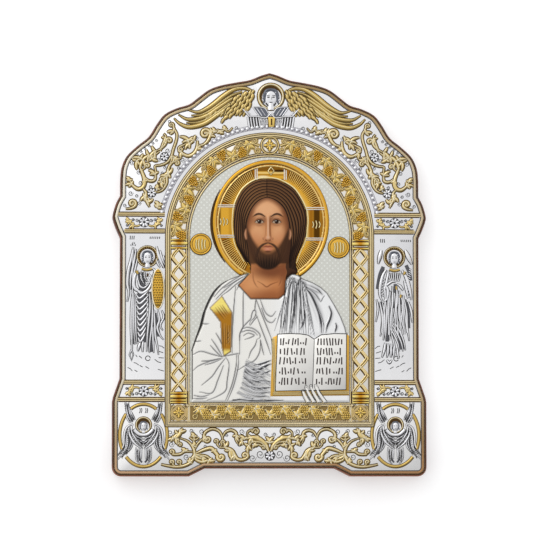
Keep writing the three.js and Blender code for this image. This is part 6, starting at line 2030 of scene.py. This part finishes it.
    low_edge = 17.0 + 0.07 * (x - face_x) ** 2
    jaw = step_up(deep, -1.6, 0.6) * (1 - step_up(y, low_edge - 3.0, low_edge + 3.4))
    lay(colours, jaw, paint(70, 44, 27), 0.95)
    lay(colours, jaw * blob(points, face_x, 6.5, 13, 5.5, 0.7), paint(38, 25, 18), 0.9)
    for k in range(-9, 10):
        top = (face_x + 1.25 * k, 14.5 + 0.09 * k * k)
        foot = (face_x + 0.95 * k, 5.0 + 0.05 * k * k)
        middle = ((top[0] + foot[0]) / 2 + 0.35 * k / 9, (top[1] + foot[1]) / 2)
        lay(colours, stroke(points, [top, middle, foot], 0.35, 0.5, 0.3, 0.3) * step_up(deep, -1.5, 0),
            paint(28, 18, 13) if k % 2 else paint(98, 68, 46), 0.5)
    for side in (-1, 1):
        line = [(face_x + side * 0.6, 24.3), (face_x + side * 3.6, 23.2), (face_x + side * 6.6, 20.6),
                (face_x + side * 8.6, 16.4), (face_x + side * 9.0, 13.5)]
        lay(colours, stroke(points, line, 2.0, 1.1, 0.55, 0.6), paint(58, 36, 23), 0.93)
        lay(colours, stroke(points, shifted(line, 0, 0.5), 0.4, 0.5, 0.3, 0.3), paint(96, 66, 46), 0.5)
    lips = [(face_x - 4.3, mouth_y), (face_x - 1.7, mouth_y + 0.75), (face_x, mouth_y + 0.45),
            (face_x + 1.7, mouth_y + 0.75),
            (face_x + 4.3, mouth_y)]
    lay(colours, blob(points, face_x, mouth_y - 1.25, 3.5, 1.35, 0.35), paint(206, 128, 98), 1)
    lay(colours, blob(points, face_x - 0.4, mouth_y - 1.2, 1.6, 0.5, 0.7), paint(230, 164, 134), 0.6)
    lay(colours, stroke(points, shifted(lips, 0, 0.45), 1.0, 0.4, 0.4, 0.4), paint(168, 90, 68), 0.95)
    lay(colours, stroke(points, shifted(lips, 0, -0.1), 0.4, 0.35, 0.4, 0.4), paint(74, 34, 26), 0.9)
    lay(colours, blob(points, face_x, mouth_y - 3.3, 2.6, 0.8, 0.6), paint(86, 50, 34), 0.8)


def head_shape(points):
    edge, _, _ = from_line(points, head_outline, True)
    heights = picture_top + 1.0 + 0.5 * step_up(edge, 0, 1.5)
    round_part = np.clip(1 - (points[:, 0] / 31) ** 2 - ((points[:, 1] - 41) / 37) ** 2, 0, 1)
    heights += 2.4 * round_part ** 0.6 * step_up(points[:, 1], -2, 14)
    colours = np.zeros((len(points), 3))
    paint_hair(points, colours, heights)
    paint_neck(points, colours)
    lay(colours, 1 - step_up(edge, 0, 0.8), paint(40, 22, 14), 0.7)
    paint_face(points, colours, heights)
    return heights, np.clip(colours, 0, 1)


def painted_finish():
    """Thin smooth paint, with its colours kept in the piece."""
    material, tree, shader = principled("smooth_paint", (0.5, 0.3, 0.2), 0.0, 0.55)
    shader.inputs["Specular IOR Level"].default_value = 0.12
    tinted(tree, shader)
    roughened(tree, shader, noise_of(tree, 300, 3), 0.05)
    return material


head = relief("head", head_outline, 0.27, picture_top - 0.2, head_shape)
finish_piece(head, painted_finish(), ("painted_head", "painted_inlay"), 60)

# The edge of the silver that is turned over the inlay, gilt where it borders the halo. It is
# part of the pressed picture.
lip_line = smooth_line(hair_left[-2::-1] + hair_right[1:-1], 1.2)
outward = lip_line - (0, 38)
lip_line = lip_line + 0.9 * outward / np.linalg.norm(outward, axis=1)[:, None]
laid("halo_lip", [(lip_line, tapered(len(lip_line), 1.5, 0.4, 0.4, 0.5))], halo_low + 0.2, bright_gilt,
     on_picture_gilt, 0.8)

# The setting: a pale floor under soft light, brighter from the upper left. The floor glows a little less just
# below the panel's foot, as a painted shadow.
clean_slate()
bpy.ops.mesh.primitive_plane_add(size=12, location=(0, 0, -0.0005))
floor = bpy.context.object
floor.name = "floor"
floor_paint, tree, shader = principled("floor_paint", (0.75, 0.75, 0.75), 0, 0.9)
shader.inputs["Specular IOR Level"].default_value = 0.1
shader.inputs["Emission Color"].default_value = (1, 1, 1, 1)
place = add_node(tree, "TexCoord").outputs["Object"]
near_foot = add_node(tree, "Mapping", {
    "Vector": place, "Scale": (1 / 0.21, 1 / 0.05, 1), "Location": (0, 0.165 / 0.05, 0),
}).outputs["Vector"]
near_foot = add_node(tree, "TexGradient", {"Vector": near_foot}, gradient_type="SPHERICAL").outputs["Fac"]
feed(tree, shader.inputs["Emission Strength"], ranged(tree, near_foot, 0, 0.8, 0.5, 0.38))
floor.data.materials.append(floor_paint)

world = bpy.data.worlds.new("studio")
bpy.context.scene.world = world
world.use_nodes = True
sky = world.node_tree
place = add_node(sky, "TexCoord").outputs["Generated"]
split = add_node(sky, "SeparateXYZ", {"Vector": place}).outputs
to_upper_left = add_node(sky, "Math", {0: split["X"], 1: -0.5, 2: split["Y"]}, operation="MULTIPLY_ADD")
share = ranged(sky, to_upper_left.outputs["Value"], -1, 1)
light = toned(sky, share, [(0, (0.1, 0.1, 0.11)), (0.45, (0.86, 0.86, 0.87)), (1, (1, 1, 1))])
feed(sky, sky.nodes["Background"].inputs["Color"], light)
sky.nodes["Background"].inputs["Strength"].default_value = 1.0


def lamp(name, place, size, power):
    bpy.ops.object.light_add(type="AREA", location=place)
    light = bpy.context.object
    light.name = name
    light.data.size = size
    light.data.energy = power
    light.rotation_euler = (-Vector(place)).to_track_quat("-Z", "Y").to_euler()


lamp("key_light", (-1.2, 1.4, 1.8), 1.6, 9)
bpy.context.scene.view_settings.view_transform = "Standard"
